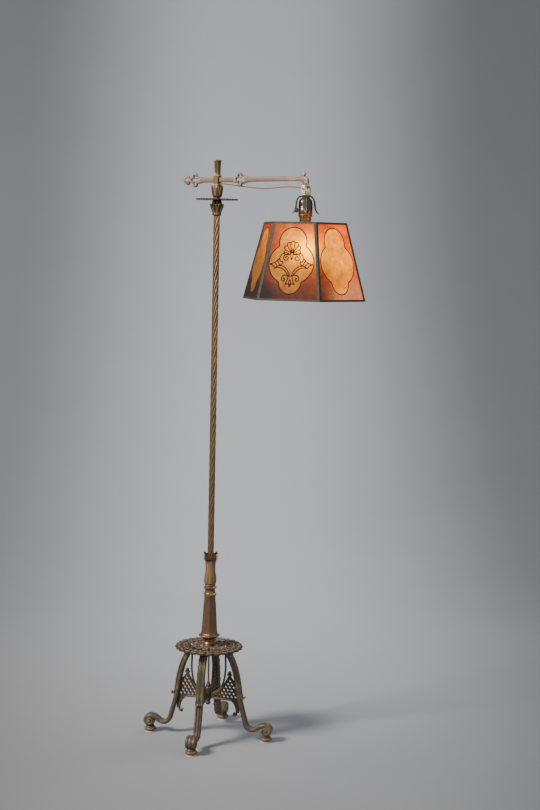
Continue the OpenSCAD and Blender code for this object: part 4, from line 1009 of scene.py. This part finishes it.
class LAMP_OT_arm(LampOperator, bpy.types.Operator):
    """Adds the bridge arm with its quatrefoils, block and leaf end, and the finial"""
    bl_idname = "lamp.arm"
    bl_label = "Arm"

    def build(self, sizes, light):
        reach = 293
        foil_u, foil_r, bar = 77, 18, 12.5
        place = ARM_PLACE @ at(0, 0, ARM_Z)
        parts = []
        lobe = foil_r * 0.42
        for u in (-foil_u, foil_u):
            outer = lobed([(u + (foil_r - lobe) * math.cos(math.radians(a)),
                            (foil_r - lobe) * math.sin(math.radians(a)), lobe)
                           for a in (0, 90, 180, 270)] + [(u, 0, foil_r * 0.62)], 96, (u, 0))
            inner = lobed([(u + 7.6 * math.cos(math.radians(a)), 7.6 * math.sin(math.radians(a)), 4.7)
                           for a in (0, 90, 180, 270)] + [(u, 0, 4.6)], 64, (u, 0))
            parts.append(flat("foil", [outer, inner], 6.5, 1.1, place))
            # Pointed cusps between the lobes
            for a in (45, 135, 225, 315):
                parts.append(ball("cusp", 2.3, place @ at(u + 11.2 * math.cos(math.radians(a)), 0,
                                                          11.2 * math.sin(math.radians(a))),
                                  (1, 1.3, 1), 10, 8))
        # Tail: a trefoil
        tail_u = -foil_u - foil_r - 9
        parts.append(flat("tail", [lobed([(tail_u + 5.6 * math.cos(math.radians(a)),
                                           5.6 * math.sin(math.radians(a)), 6.4) for a in (90, 180, 270)]
                                         + [(tail_u + 5, 0, 6.6)], 64, (tail_u, 0))], 6.5,
                                          1.2, place))
        parts.append(ball("tail_boss", 3.6, place @ at(tail_u - 1, 0, 0), (1.5, 1.25, 0.9)))
        # Bars, flared where they leave each quatrefoil
        half = bar / 2
        inner_bar = [(-foil_u + 14, 9.5), (-foil_u + 19, half + 2.2), (-foil_u + 30, half),
                     (foil_u - 30, half), (foil_u - 19, half + 0.8), (foil_u - 14, 8)]
        parts.append(flat("bar", [inner_bar + [(x, -y) for x, y in reversed(inner_bar)]], 6.5, 1.5, place))
        outer_bar = [(foil_u + 12.5, 11.5), (foil_u + 18, half + 3.4), (foil_u + 27, half + 0.9),
                     (foil_u + 38, half - 0.2), (reach - 60, half - 0.4), (reach - 22, half - 0.2)]
        curl = (bezier((reach - 22, half - 0.2), (reach - 14, half), (reach - 12, half + 4), (reach - 13, 10),
                       6)[1:]
                + arc(reach - 8, 10.5, 5, 170, -60, 12))
        foot = [(reach - 3, half - 3), (reach + 5, 1.5), (reach + 7, -5), (reach + 7, -16), (reach - 9, -16),
                (reach - 11, -9.5), (reach - 20, -half + 0.4)]
        parts.append(flat("reach", [outer_bar + curl + foot + [(x, -y) for x, y in reversed(outer_bar[:-2])]],
                          6.5, 1.5, place))
        # Veins of the leaf end and the scrolled curl
        parts.append(wire("veins", [([(reach - 52, s * 3.4, 0), (reach - 36, s * 3.2, 0.2),
                                      (reach - 24, s * 2.0 + 1, 0.2),
                                      (reach - 15, s * 1.2 + 4, 0)], False) for s in (-1, 1)], 1.5,
                          place @ Matrix.Rotation(math.pi / 2, 4, "X") @ at(0, 0, 3.1)))
        parts.append(wire("veins", [([(reach - 52, s * 3.4, 0), (reach - 36, s * 3.2, 0.2),
                                      (reach - 24, s * 2.0 + 1, 0.2),
                                      (reach - 15, s * 1.2 + 4, 0)], False) for s in (-1, 1)], 1.5,
                          place @ Matrix.Rotation(math.pi / 2, 4, "X") @ at(0, 0, -3.1)))
        spiral = [(reach - 8 + (4.6 - k * 0.19) * math.cos(math.radians(160 - 30 * k)),
                   10.5 + (4.6 - k * 0.19) * math.sin(math.radians(160 - 30 * k)), 0) for k in range(18)]
        for y in (2.9, -2.9):
            parts.append(wire("scroll", [(spiral, False)], 1.6,
                              place @ Matrix.Rotation(math.pi / 2, 4, "X") @ at(0, 0, y)))
        parts.append(turned("stem", [(5.6, 1456.9), (6.4, 1457.6), (6.4, 1460.4), (5.2, 1462), (4.6, 1466)],
                            32, SOCKET))
        # Block on the pole, with a sunk panel in each face, over its round spigot
        block = primitive("block", "cube", size=1)
        lay(block, ARM_PLACE @ at(0, 0, ARM_Z) @ Matrix.Diagonal((15 * MM, 15 * MM, 26 * MM, 1)))
        pick(block, "FACE", lambda c: abs(c.z - ARM_Z) < 2)
        bpy.ops.mesh.inset(thickness=2.2 * MM, use_individual=True)
        bpy.ops.mesh.extrude_region_shrink_fatten(TRANSFORM_OT_shrink_fatten={"value": -0.8 * MM})
        bpy.ops.object.mode_set(mode="OBJECT")
        modify(block, "BEVEL", width=0.5 * MM, segments=2)
        block.data.materials.append(FINISH["pole_bronze"])
        parts.append(block)
        parts.append(turned("spigot", [(7, ARM_Z - 19.4), (7, ARM_Z - 12.4)], 48))
        for z, r in ((ARM_Z - 11.6, 11.2), (ARM_Z + 11.8, 10.6)):
            parts.append(turned("moulding", [(r - 1, z - 1.3), (r + 0.4, z - 0.9), (r + 0.9, z),
                                             (r + 0.4, z + 0.9), (r - 1, z + 1.3)], 4,
                                turn=math.pi / 4 + ARM_TURN, smooth=30))
        for part in parts:
            if not part.data.materials:
                part.data.materials.append(FINISH["arm_gilt"])
        ride(join("bridge_arm", *parts), "arm_gilt", "arm", "arm")

        z = span("arm")[1][2]
        z0, z1 = ARM_Z + 13, span("finial")[1][2]

        def square(t):
            a = t - ARM_TURN
            edge = 1 / max(abs(math.cos(a)), abs(math.sin(a)))
            return min(edge, 1.38) * (1 - 0.12 * (1 - abs(math.cos(8 * a)) ** 0.8))

        finial = turned("fluted_finial", [(5.6, z0 + 0.05), (6.5, z0 + 0.6), (6.4, z0 + 2), (5.8, z0 + 3),
                                          (5.8, z0 + 8),
                                          (6, z0 + 16), (6.4, z0 + 26), (6.7, z0 + 33), (7, z0 + 35.5),
                                          (7, z1 - 0.8), (6.4, z1 - 0.01)], 96, ring=square, smooth=30)
        finish(finial, "leaf_bronze", "arm", "finial")


# ---------------------------------------------------------------- hickey, husk and socket

class LAMP_OT_socket(LampOperator, bpy.types.Operator):
    """Adds the hickey, the husk of veined leaves, and the socket's shell and cap"""
    bl_idname = "lamp.socket"
    bl_label = "Socket"

    def hickey(self):
        low, high = span("hickey")
        z0, z1 = low[2], high[2]
        cheek = [(-6.5, z0 + 0.2), (6.5, z0 + 0.2), (6.5, z0 + 18), (5.6, z0 + 21.6), (3, z1 - 0.4),
                 (-3, z1 - 0.4), (-5.6, z0 + 21.6), (-6.5, z0 + 18)]
        eye = arc(0, z0 + 15, 4, 0, 345, 23)
        cheeks = [flat("cheek", [cheek, eye], 2.5, 0.6, SOCKET_TURN @ at(0, s * 10.25, 0)) for s in (-1, 1)]
        rims = [wire("rim", [(arc(0, z0 + 15, 4.5, 0, 345, 23), True)], 1.3,
                     SOCKET_TURN @ at(0, s * 11.3, 0) @ Matrix.Rotation(math.pi / 2, 4, "X"))
                for s in (-1, 1)]
        bridges = []
        for z in (z0, z1 - 3):
            plate = primitive("bridge", "cube", size=1)
            lay(plate, SOCKET_TURN @ at(0, 0, z + 1.5) @ Matrix.Diagonal((9 * MM, 21 * MM, 2.9 * MM, 1)))
            modify(plate, "BEVEL", width=0.5 * MM, segments=2)
            bridges += [plate, turned("boss", [(8, z + 0.05), (8.5, z + 0.5), (8.5, z + 2.5), (8, z + 2.95)],
                                      40, SOCKET)]
        finish(join("hickey_loop", *cheeks, *rims, *bridges), "pale_brass", "socket", "hickey")

    def husk(self):
        z = span("hickey")[0][2] - 2.5
        line = chain(bezier((6, z + 1.2), (21.5, z + 2.4), (23.6, z - 10), (24.4, z - 24), 14),
                     bezier((24.4, z - 24), (25, z - 33), (29, z - 39), (34.6, z - 42.6), 9))
        widths = [0.66, 0.72, 0.78, 0.85, 0.92, 1.0, 1.07, 1.12, 1.17, 1.2, 1.22, 1.23, 1.23, 1.21,
                  1.17, 1.11, 1.03, 0.93, 0.81, 0.67, 0.52, 0.37, 0.22, 0.09]
        section = [(-9, -2.4), (-7.6, -1.2), (-6, -0.4), (-4.6, -0.7), (-3.2, 0.3), (-1.8, -0.1), (-0.9, 0.5),
                   (0, 1.5), (0.9, 0.5),
                   (1.8, -0.1), (3.2, 0.3), (4.6, -0.7), (6, -0.4), (7.6, -1.2), (9, -2.4), (7.2, -2.3),
                   (3.6, -1.2), (0, -0.6), (-3.6, -1.2), (-7.2, -2.3)]
        leaf = sweep("leaf", section, [(x, y, w, 1 if w > 0.5 else 0.5 + w)
                                       for (x, y), w in zip(line, widths)])
        modify(leaf, "SUBSURF", levels=1, render_levels=1)
        leaves = copies(leaf, "leaves", 4, math.radians(45))
        boss = turned("boss", [(6, z + 0.4), (9, z + 0.9), (9.4, z + 2), (8, z + 2.45)], 40)
        finish(lay(join("leaf_husk", leaves, boss), SOCKET_TURN), "husk_bronze", "socket", "husk")

    def build(self, sizes, light):
        self.hickey()
        self.husk()
        z = span("socket_shell")[1][2] - 29
        shell = turned("shell", [(14.1, z - 12.5), (14.1, z - 10.2), (14.7, z - 9.8), (14.7, z - 1.2),
                                 (16.6, z - 0.7), (17.5, z + 0.6),
                                 (17.6, z + 3.2), (16.9, z + 4.2), (16.9, z + 5.2), (17.3, z + 6),
                                 (17.3, z + 21), (16.9, z + 21.8),
                                 (17.5, z + 22.8), (17.5, z + 25), (16.9, z + 26), (17.2, z + 28.9)], 72,
                       SOCKET)
        finish(shell, "bright_brass", "socket", "socket_shell")
        z = span("socket_cap")[0][2]
        cap = turned("cap", [(16.7, z + 0.1), (17.4, z + 0.8), (17.4, z + 2.4), (16.7, z + 3.2),
                             (16.7, z + 7), (15.6, z + 11),
                             (12.6, z + 14.4), (9, z + 16.2), (6.4, z + 16.9)], 72, SOCKET)
        finish(cap, "bright_brass", "socket", "socket_cap")


# ---------------------------------------------------------------- shade

# Corner radius of the six-sided shade at its bottom and top, and its height, in millimetres
BOTTOM_RADIUS, TOP_RADIUS, SHADE_HEIGHT = 157, 105, 190
SLANT = math.atan((BOTTOM_RADIUS - TOP_RADIUS) * math.cos(math.pi / 6) / SHADE_HEIGHT)
SLOPE = SHADE_HEIGHT / math.cos(SLANT)


def on_side(i, out=0.0):
    """Places a flat piece on side i of the shade: X along the side, Y up the slope, Z outwards."""
    bottom = span("shade_bottom_rim")[0][2]
    stand = Matrix(((0, 0, 1, 0), (1, 0, 0, 0), (0, 1, 0, 0), (0, 0, 0, 1)))
    return (at(SOCKET[0], SOCKET[1], 0) @ Matrix.Rotation(SHADE_TURN + math.radians(30 + 60 * i), 4, "Z")
            @ at(BOTTOM_RADIUS * math.cos(math.pi / 6), 0, bottom) @ Matrix.Rotation(-SLANT, 4, "Y") @ stand
            @ at(0, 0, out))


def half_side(y):
    """Half the width of a side at a distance up its slope, in millimetres."""
    return (BOTTOM_RADIUS + (TOP_RADIUS - BOTTOM_RADIUS) * y / SLOPE) / 2


FRONT_SIDE = 4
# Centre and half axes of each round of the painted outline, in millimetres up the side of the shade
CARTOUCHE = ((0, 144, 34, 37), (0, 92, 56, 52), (0, 47, 28, 29.5))
CARTOUCHE_MIDDLE = CARTOUCHE[1][1]


def cartouche():
    """The painted outline: two circles and an ellipse melted together."""
    points = []
    for k in range(144):
        t = 2 * math.pi * k / 144
        dx, dy = math.cos(t), math.sin(t)
        reach = 0.0
        for cx, cy, rx, ry in CARTOUCHE:
            a = (dx / rx) ** 2 + (dy / ry) ** 2
            b = (-cx * dx / rx ** 2) + (CARTOUCHE_MIDDLE - cy) * dy / ry ** 2
            c = (cx / rx) ** 2 + ((CARTOUCHE_MIDDLE - cy) / ry) ** 2 - 1
            root = b * b - a * c
            if root > 0:
                reach = max(reach, (-b + math.sqrt(root)) / a)
        points.append((reach * dx, CARTOUCHE_MIDDLE + reach * dy, 0))
    return points


def both(points):
    """A stroke and its mirror image."""
    return [([(x, y, 0) for x, y in points], False), ([(-x, y, 0) for x, y in points], False)]


def motif():
    """A shell over scrolling leaves and a small fleuron, in line."""
    def fan(turn, reach):
        turn = math.radians(turn)
        return reach * math.cos(turn), 123 + 1.15 * reach * math.sin(turn)

    edges = [-28 + 236 * k / 7 for k in range(8)]
    rim = []
    for start, end in zip(edges, edges[1:]):
        rim = chain(rim, bezier(fan(start, 15.5), fan(start + 3, 24), fan(end - 3, 24), fan(end, 15.5),
                                7)) if rim else (
            bezier(fan(start, 15.5), fan(start + 3, 24), fan(end - 3, 24), fan(end, 15.5), 7))
    strokes = [([(x, y, 0) for x, y in rim], False)]
    for edge in edges[1:-1]:
        lean = 12 if edge < 90 else -12
        strokes.append(([(x, y, 0) for x, y in bezier((0.03 * (90 - edge), 117), fan(edge - lean, 6),
                                                      fan(edge - lean, 12), fan(edge, 15.5), 7)], False))
    strokes += both(bezier((3, 117), (7, 113), (11, 113), fan(edges[0], 15.5), 6))
    # Tongue that hangs from the hinge of the shell
    strokes += both(bezier((0, 127), (5, 122), (3, 108), (0, 101), 8))
    # Scroll arms: over the top of a volute, then out to a point
    spiral = [(13.5 + (8.6 - 0.27 * k) * math.cos(math.radians(100 - 20 * k)),
               106 + (8.6 - 0.27 * k) * math.sin(math.radians(100 - 20 * k))) for k in range(26)]
    strokes += both(chain([(5, 115), spiral[0]], spiral))
    strokes += both(chain(bezier((8, 116), (16, 121), (25, 118), (28, 109), 8),
                          bezier((28, 109), (33, 98), (42, 92), (54, 90), 8)))
    strokes += both(chain(bezier((54, 90), (47, 89), (43, 86), (41, 79), 6),
                          bezier((41, 79), (38, 84), (35, 85), (31, 86), 5)))
    strokes += both(bezier((31, 86), (25, 88), (20, 92), (22, 98), 6))
    strokes += both(bezier((22, 98), (25, 94), (29, 96), (30, 104), 6))
    strokes += both(bezier((36, 101), (33, 96), (31, 92), (29, 88), 5))
    strokes += both(bezier((42, 95), (40, 91), (37, 89), (35, 87), 5))
    # Stems, in double line, that meet over the fleuron
    strokes += both(bezier((31, 86), (18, 89), (7, 78), (1.5, 60), 10))
    strokes += both(bezier((39, 81), (25, 85), (12, 76), (5.5, 60), 10))
    # Fleuron
    strokes += both(chain(bezier((2, 60), (8, 66), (21, 65), (22, 55), 8),
                          bezier((22, 55), (22, 47), (12, 47), (13.5, 54), 6),
                          bezier((13.5, 54), (14, 58), (18.5, 57), (17.5, 53.5), 4)))
    strokes += both(bezier((6, 58), (4, 50), (12.5, 47), (9.5, 40), 7))
    strokes += both(bezier((9.5, 40), (6, 46), (3.5, 43), (0, 34), 6))
    strokes += both(bezier((0, 53), (4, 48), (3, 43), (0, 39), 5))
    return strokes


def lit_mica():
    """Amber mica, pressed from flakes bound with shellac and lit from inside: it glows most near the bulb,
    pale inside the painted cartouche, red-orange outside it, and brown towards the bottom edge and the sides.
    Painted shade darkens the left of the shade, a painted reflection turns its right paler and rose, and a
    painted highlight sits on the front panel."""
    material, out, coords = blank("amber_mica_lit")
    place = add_node(material, "ShaderNodeUVMap", {"uv_map": "panel"})
    # The map holds millimetres: 200 of them to one unit, with 0 in the middle across.
    mm = add_node(material, "ShaderNodeMapping", inputs={
        "Vector": place.outputs["UV"], "Location": (-100, 0, 0), "Scale": (200, 200, 1)})
    nearest = None
    for cx, cy, rx, ry in CARTOUCHE:
        centred = add_node(material, "ShaderNodeMapping", inputs={
            "Vector": mm.outputs["Vector"], "Location": (-cx / rx, -cy / ry, 0),
            "Scale": (1 / rx, 1 / ry, 0)})
        length = add_node(material, "ShaderNodeVectorMath", {"operation": "LENGTH"},
                          {0: centred.outputs["Vector"]})
        if nearest:
            nearest = add_node(material, "ShaderNodeMath", {"operation": "MINIMUM"},
                               {0: nearest, 1: length.outputs["Value"]})
            nearest = nearest.outputs["Value"]
        else:
            nearest = length.outputs["Value"]
    inside = add_node(material, "ShaderNodeMapRange", inputs={"Value": nearest, "From Min": 1.02,
                                                              "From Max": 0.98})
    cloud = add_node(material, "ShaderNodeTexNoise", inputs={
        "Vector": coords.outputs["Object"], "Scale": 1 / (38 * MM), "Detail": 6.0, "Roughness": 0.62,
        "Distortion": 0.6})
    # Flakes a few millimetres across show as small bright and dark patches.
    flake = add_node(material, "ShaderNodeTexVoronoi", {"feature": "F1"}, {
        "Vector": coords.outputs["Object"], "Scale": 1 / (7 * MM), "Randomness": 1.0})
    flake_tone = add_node(material, "ShaderNodeSeparateColor", inputs={"Color": flake.outputs["Color"]})
    fine = add_node(material, "ShaderNodeTexNoise", inputs={
        "Vector": coords.outputs["Object"], "Scale": 1 / (5 * MM), "Detail": 5.0, "Roughness": 0.7})
    spread = add_node(material, "ShaderNodeMapRange", inputs={"Value": cloud.outputs["Fac"], "From Min": 0.32,
                                                              "From Max": 0.68})
    pale = add_node(material, "ShaderNodeMix", {"data_type": "RGBA"}, {
        "Factor": spread.outputs["Result"], "A": linear("#c96a12"), "B": linear("#fdb338")})
    red = add_node(material, "ShaderNodeMix", {"data_type": "RGBA"}, {
        "Factor": spread.outputs["Result"], "A": linear("#a3431a"), "B": linear("#ee6f20")})
    # Outside the cartouche the colour darkens towards the bottom edge and the sides.
    parts = add_node(material, "ShaderNodeSeparateXYZ", inputs={"Vector": mm.outputs["Vector"]})
    side = add_node(material, "ShaderNodeMath", {"operation": "ABSOLUTE"}, {0: parts.outputs["X"]})
    low = add_node(material, "ShaderNodeMapRange", {"interpolation_type": "SMOOTHSTEP"}, {
        "Value": parts.outputs["Y"], "From Min": 95, "From Max": 5, "To Max": 0.75})
    wide = add_node(material, "ShaderNodeMapRange", {"interpolation_type": "SMOOTHSTEP"}, {
        "Value": side.outputs["Value"], "From Min": 40, "From Max": 82, "To Max": 0.55})
    dim = add_node(material, "ShaderNodeMath", {"operation": "MAXIMUM"},
                   {0: low.outputs["Result"], 1: wide.outputs["Result"]})
    blotch = add_node(material, "ShaderNodeMath", {"operation": "MULTIPLY_ADD", "use_clamp": True}, {
        0: fine.outputs["Fac"], 1: 0.5, 2: -0.25})
    dark = add_node(material, "ShaderNodeMath", {"operation": "ADD", "use_clamp": True}, {
        0: dim.outputs["Value"], 1: blotch.outputs["Value"]})
    # Painted shade and a painted reflection: dark brown to the left of the shade, a paler rose to the right.
    world = add_node(material, "ShaderNodeSeparateXYZ", inputs={"Vector": coords.outputs["Object"]})
    left = add_node(material, "ShaderNodeMapRange", {"interpolation_type": "SMOOTHSTEP"}, {
        "Value": world.outputs["X"], "From Min": (SOCKET[0] - 50) * MM, "From Max": (SOCKET[0] - 120) * MM,
        "To Max": 0.5})
    right = add_node(material, "ShaderNodeMapRange", {"interpolation_type": "SMOOTHSTEP"}, {
        "Value": world.outputs["X"], "From Min": (SOCKET[0] + 20) * MM, "From Max": (SOCKET[0] + 95) * MM})
    brown_with_painted_reflection = add_node(material, "ShaderNodeMix", {"data_type": "RGBA"}, {
        "Factor": right.outputs["Result"], "A": linear("#4c2a26"), "B": linear("#bb8884")})
    darker = add_node(material, "ShaderNodeMath", {"operation": "ADD", "use_clamp": True}, {
        0: dark.outputs["Value"], 1: left.outputs["Result"]})
    brown = add_node(material, "ShaderNodeMix", {"data_type": "RGBA"}, {
        "Factor": darker.outputs["Value"], "A": red.outputs["Result"], "B": brown_with_painted_reflection.outputs["Result"]})
    painted = add_node(material, "ShaderNodeMix", {"data_type": "RGBA"}, {
        "Factor": inside.outputs["Result"], "A": brown.outputs["Result"], "B": pale.outputs["Result"]})
    speck = add_node(material, "ShaderNodeMapRange", inputs={
        "Value": flake_tone.outputs["Red"], "To Min": 0.86, "To Max": 1.10})
    # Painted shade: the left of the shade is darkened further.
    sheet = add_node(material, "ShaderNodeMath", {"operation": "MULTIPLY_ADD"},
                     {0: left.outputs["Result"], 1: -1.1, 2: 1.0})
    tint = add_node(material, "ShaderNodeMath", {"operation": "MULTIPLY"}, {
        0: speck.outputs["Result"], 1: sheet.outputs["Value"]})
    body = add_node(material, "ShaderNodeVectorMath", {"operation": "SCALE"}, {
        0: painted.outputs["Result"], "Scale": tint.outputs["Value"]})
    # Light from the bulb: it falls off with the distance from the bulb's middle to the mica.
    low_corner, high_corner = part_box("bulb_glass")
    bulb = Vector(((low_corner[0] + high_corner[0]) / 2, (low_corner[1] + high_corner[1]) / 2,
                   low_corner[2] + 0.036))
    away = add_node(material, "ShaderNodeVectorMath", {"operation": "DISTANCE"},
                    {0: coords.outputs["Object"], 1: bulb})
    near = add_node(material, "ShaderNodeMath", {"operation": "DIVIDE"}, {0: 0.098, 1: away.outputs["Value"]})
    fall = add_node(material, "ShaderNodeMath", {"operation": "POWER"}, {0: near.outputs["Value"], 1: 3.0})
    # A painted highlight of the bulb's light: one patch of the front panel, beside its right seam, is painted
    # brightest, close to pale yellow.
    core = on_side(FRONT_SIDE) @ Vector((38 * MM, 128 * MM, 0))
    beside = add_node(material, "ShaderNodeVectorMath", {"operation": "DISTANCE"},
                      {0: coords.outputs["Object"], 1: core})
    painted_highlight = add_node(material, "ShaderNodeMapRange", {"interpolation_type": "SMOOTHSTEP"}, {
        "Value": beside.outputs["Value"], "From Min": 0.0, "From Max": 0.075, "To Min": 1.0, "To Max": 0.0})
    painted_highlight_peak = add_node(material, "ShaderNodeMath", {"operation": "POWER"}, {0: painted_highlight.outputs["Result"], 1: 1.6})
    gain = add_node(material, "ShaderNodeMath", {"operation": "MULTIPLY_ADD"}, {
        0: painted_highlight_peak.outputs["Value"], 1: 3.0, 2: fall.outputs["Value"]})
    paler = add_node(material, "ShaderNodeMath", {"operation": "MULTIPLY"},
                     {0: painted_highlight_peak.outputs["Value"], 1: 0.75})
    yellow = add_node(material, "ShaderNodeMix", {"data_type": "RGBA"}, {
        "Factor": paler.outputs["Value"], "A": body.outputs["Vector"], "B": linear("#f6cf4e")})
    # The right of the shade glows more: a painted reflection.
    glow_with_painted_reflection = add_node(material, "ShaderNodeMath", {"operation": "MULTIPLY_ADD"}, {
        0: right.outputs["Result"], 1: 0.75, 2: gain.outputs["Value"]})
    lit = add_node(material, "ShaderNodeVectorMath", {"operation": "SCALE"}, {
        0: yellow.outputs["Result"], "Scale": glow_with_painted_reflection.outputs["Value"]})
    warm = add_node(material, "ShaderNodeMix", {"data_type": "RGBA", "blend_type": "MULTIPLY"}, {
        "Factor": 1.0, "A": lit.outputs["Vector"], "B": linear("#ffd768")})
    bump = add_node(material, "ShaderNodeBump", inputs={
        "Height": fine.outputs["Fac"], "Strength": 0.5, "Distance": 0.15 * MM})
    # Little light comes back off the mica: most of it goes through. More comes back on the right of the
    # shade: a painted reflection.
    sheen = add_node(material, "ShaderNodeMath", {"operation": "MULTIPLY_ADD"},
                     {0: right.outputs["Result"], 1: 0.3, 2: 0.34})
    thin = add_node(material, "ShaderNodeVectorMath", {"operation": "SCALE"}, {
        0: body.outputs["Vector"], "Scale": sheen.outputs["Value"]})
    surface = add_node(material, "ShaderNodeBsdfPrincipled", inputs={
        "Base Color": thin.outputs["Vector"], "Roughness": 0.35, "Specular IOR Level": 0.2,
        "Normal": bump.outputs["Normal"], "Emission Color": warm.outputs["Result"], "Emission Strength": 1.0})
    surface.inputs["Emission Strength"].default_value = bpy.context.scene.lamp_light.glow
    material.node_tree.links.new(surface.outputs["BSDF"], out.inputs["Surface"])
    return material


class LAMP_OT_shade(LampOperator, bpy.types.Operator):
    """Adds the six mica panels with their painted lines"""
    bl_idname = "lamp.shade"
    bl_label = "Shade"

    def panel(self, i):
        top = SLOPE - 2.8
        panel = primitive("panel", "plane", size=2 * MM)
        bpy.ops.object.transform_apply(location=True, rotation=True, scale=True)
        for vertex in panel.data.vertices:
            y = 0.5 if vertex.co.y < 0 else top
            vertex.co = ((1 if vertex.co.x > 0 else -1) * (half_side(y) - 0.8) * MM, y * MM, 0)
        pick(panel, "FACE", lambda c: True)
        bpy.ops.mesh.subdivide(number_cuts=7)
        bpy.ops.object.mode_set(mode="OBJECT")
        uv = panel.data.uv_layers[0]
        uv.name = "panel"
        for loop in panel.data.loops:
            x, y, _ = panel.data.vertices[loop.vertex_index].co
            uv.data[loop.index].uv = (x / MM / 200 + 0.5, y / MM / 200)
        modify(panel, "SOLIDIFY", thickness=1.0 * MM, offset=-1)
        return lay(panel, on_side(i))

    def build(self, sizes, light):
        width = sizes.line_width / MM
        for i in range(6):
            panel = self.panel(i)
            panel.name = panel.data.name = f"mica_{i + 1}"
            finish(panel, "mica", "shade", f"mica_panel_{i + 1}")
            strokes = [(cartouche(), True)]
            if i % 2 == 0:
                strokes += motif()
            lines = wire(f"painted_lines_{i + 1}", strokes, width, on_side(i, 0.05), flatten=0.22, sides=1)
            lines.data.materials.clear()
            lines.data.materials.append(FINISH["line_paint"])
            ride(lines, "mica", "shade")


# ---------------------------------------------------------------- panel and registration

BUILD_ORDER = [LAMP_OT_stage, LAMP_OT_lead, LAMP_OT_cad_finishes, LAMP_OT_legs, LAMP_OT_plate, LAMP_OT_column,
               LAMP_OT_pole, LAMP_OT_arm, LAMP_OT_socket, LAMP_OT_shade]


class LAMP_PT_sidebar(bpy.types.Panel):
    """The lamp's settings and its pieces"""
    bl_idname = "LAMP_PT_sidebar"
    bl_label = "Floor Lamp"
    bl_space_type = "VIEW_3D"
    bl_region_type = "UI"
    bl_category = "Floor Lamp"

    def draw(self, context):
        for group in (context.scene.lamp_sizes, context.scene.lamp_light):
            for name in group.bl_rna.properties.keys():
                if name not in ("rna_type", "name"):
                    self.layout.prop(group, name)
        for operator in BUILD_ORDER:
            self.layout.operator(operator.bl_idname)


CLASSES = [LampSizes, LampLight, *BUILD_ORDER, LAMP_PT_sidebar]


def register():
    for cls in CLASSES:
        bpy.utils.register_class(cls)
    bpy.types.Scene.lamp_sizes = bpy.props.PointerProperty(type=LampSizes)
    bpy.types.Scene.lamp_light = bpy.props.PointerProperty(type=LampLight)


def unregister():
    del bpy.types.Scene.lamp_sizes
    del bpy.types.Scene.lamp_light
    for cls in reversed(CLASSES):
        bpy.utils.unregister_class(cls)


def main():
    register()
    FINISH.update(finishes())
    FINISH["bulb"] = lit_bulb()
    FINISH["mica"] = lit_mica()
    # Dark brown enamel lines painted on the mica.
    FINISH["line_paint"] = plain("dark_brown_enamel_line", "#0c0603", "#180c06", 0.95, 0.0, 3.0, 0.02)
    for operator in BUILD_ORDER:
        area, name = operator.bl_idname.split(".")
        getattr(getattr(bpy.ops, area), name)()


if __name__ == "__main__":
    main()
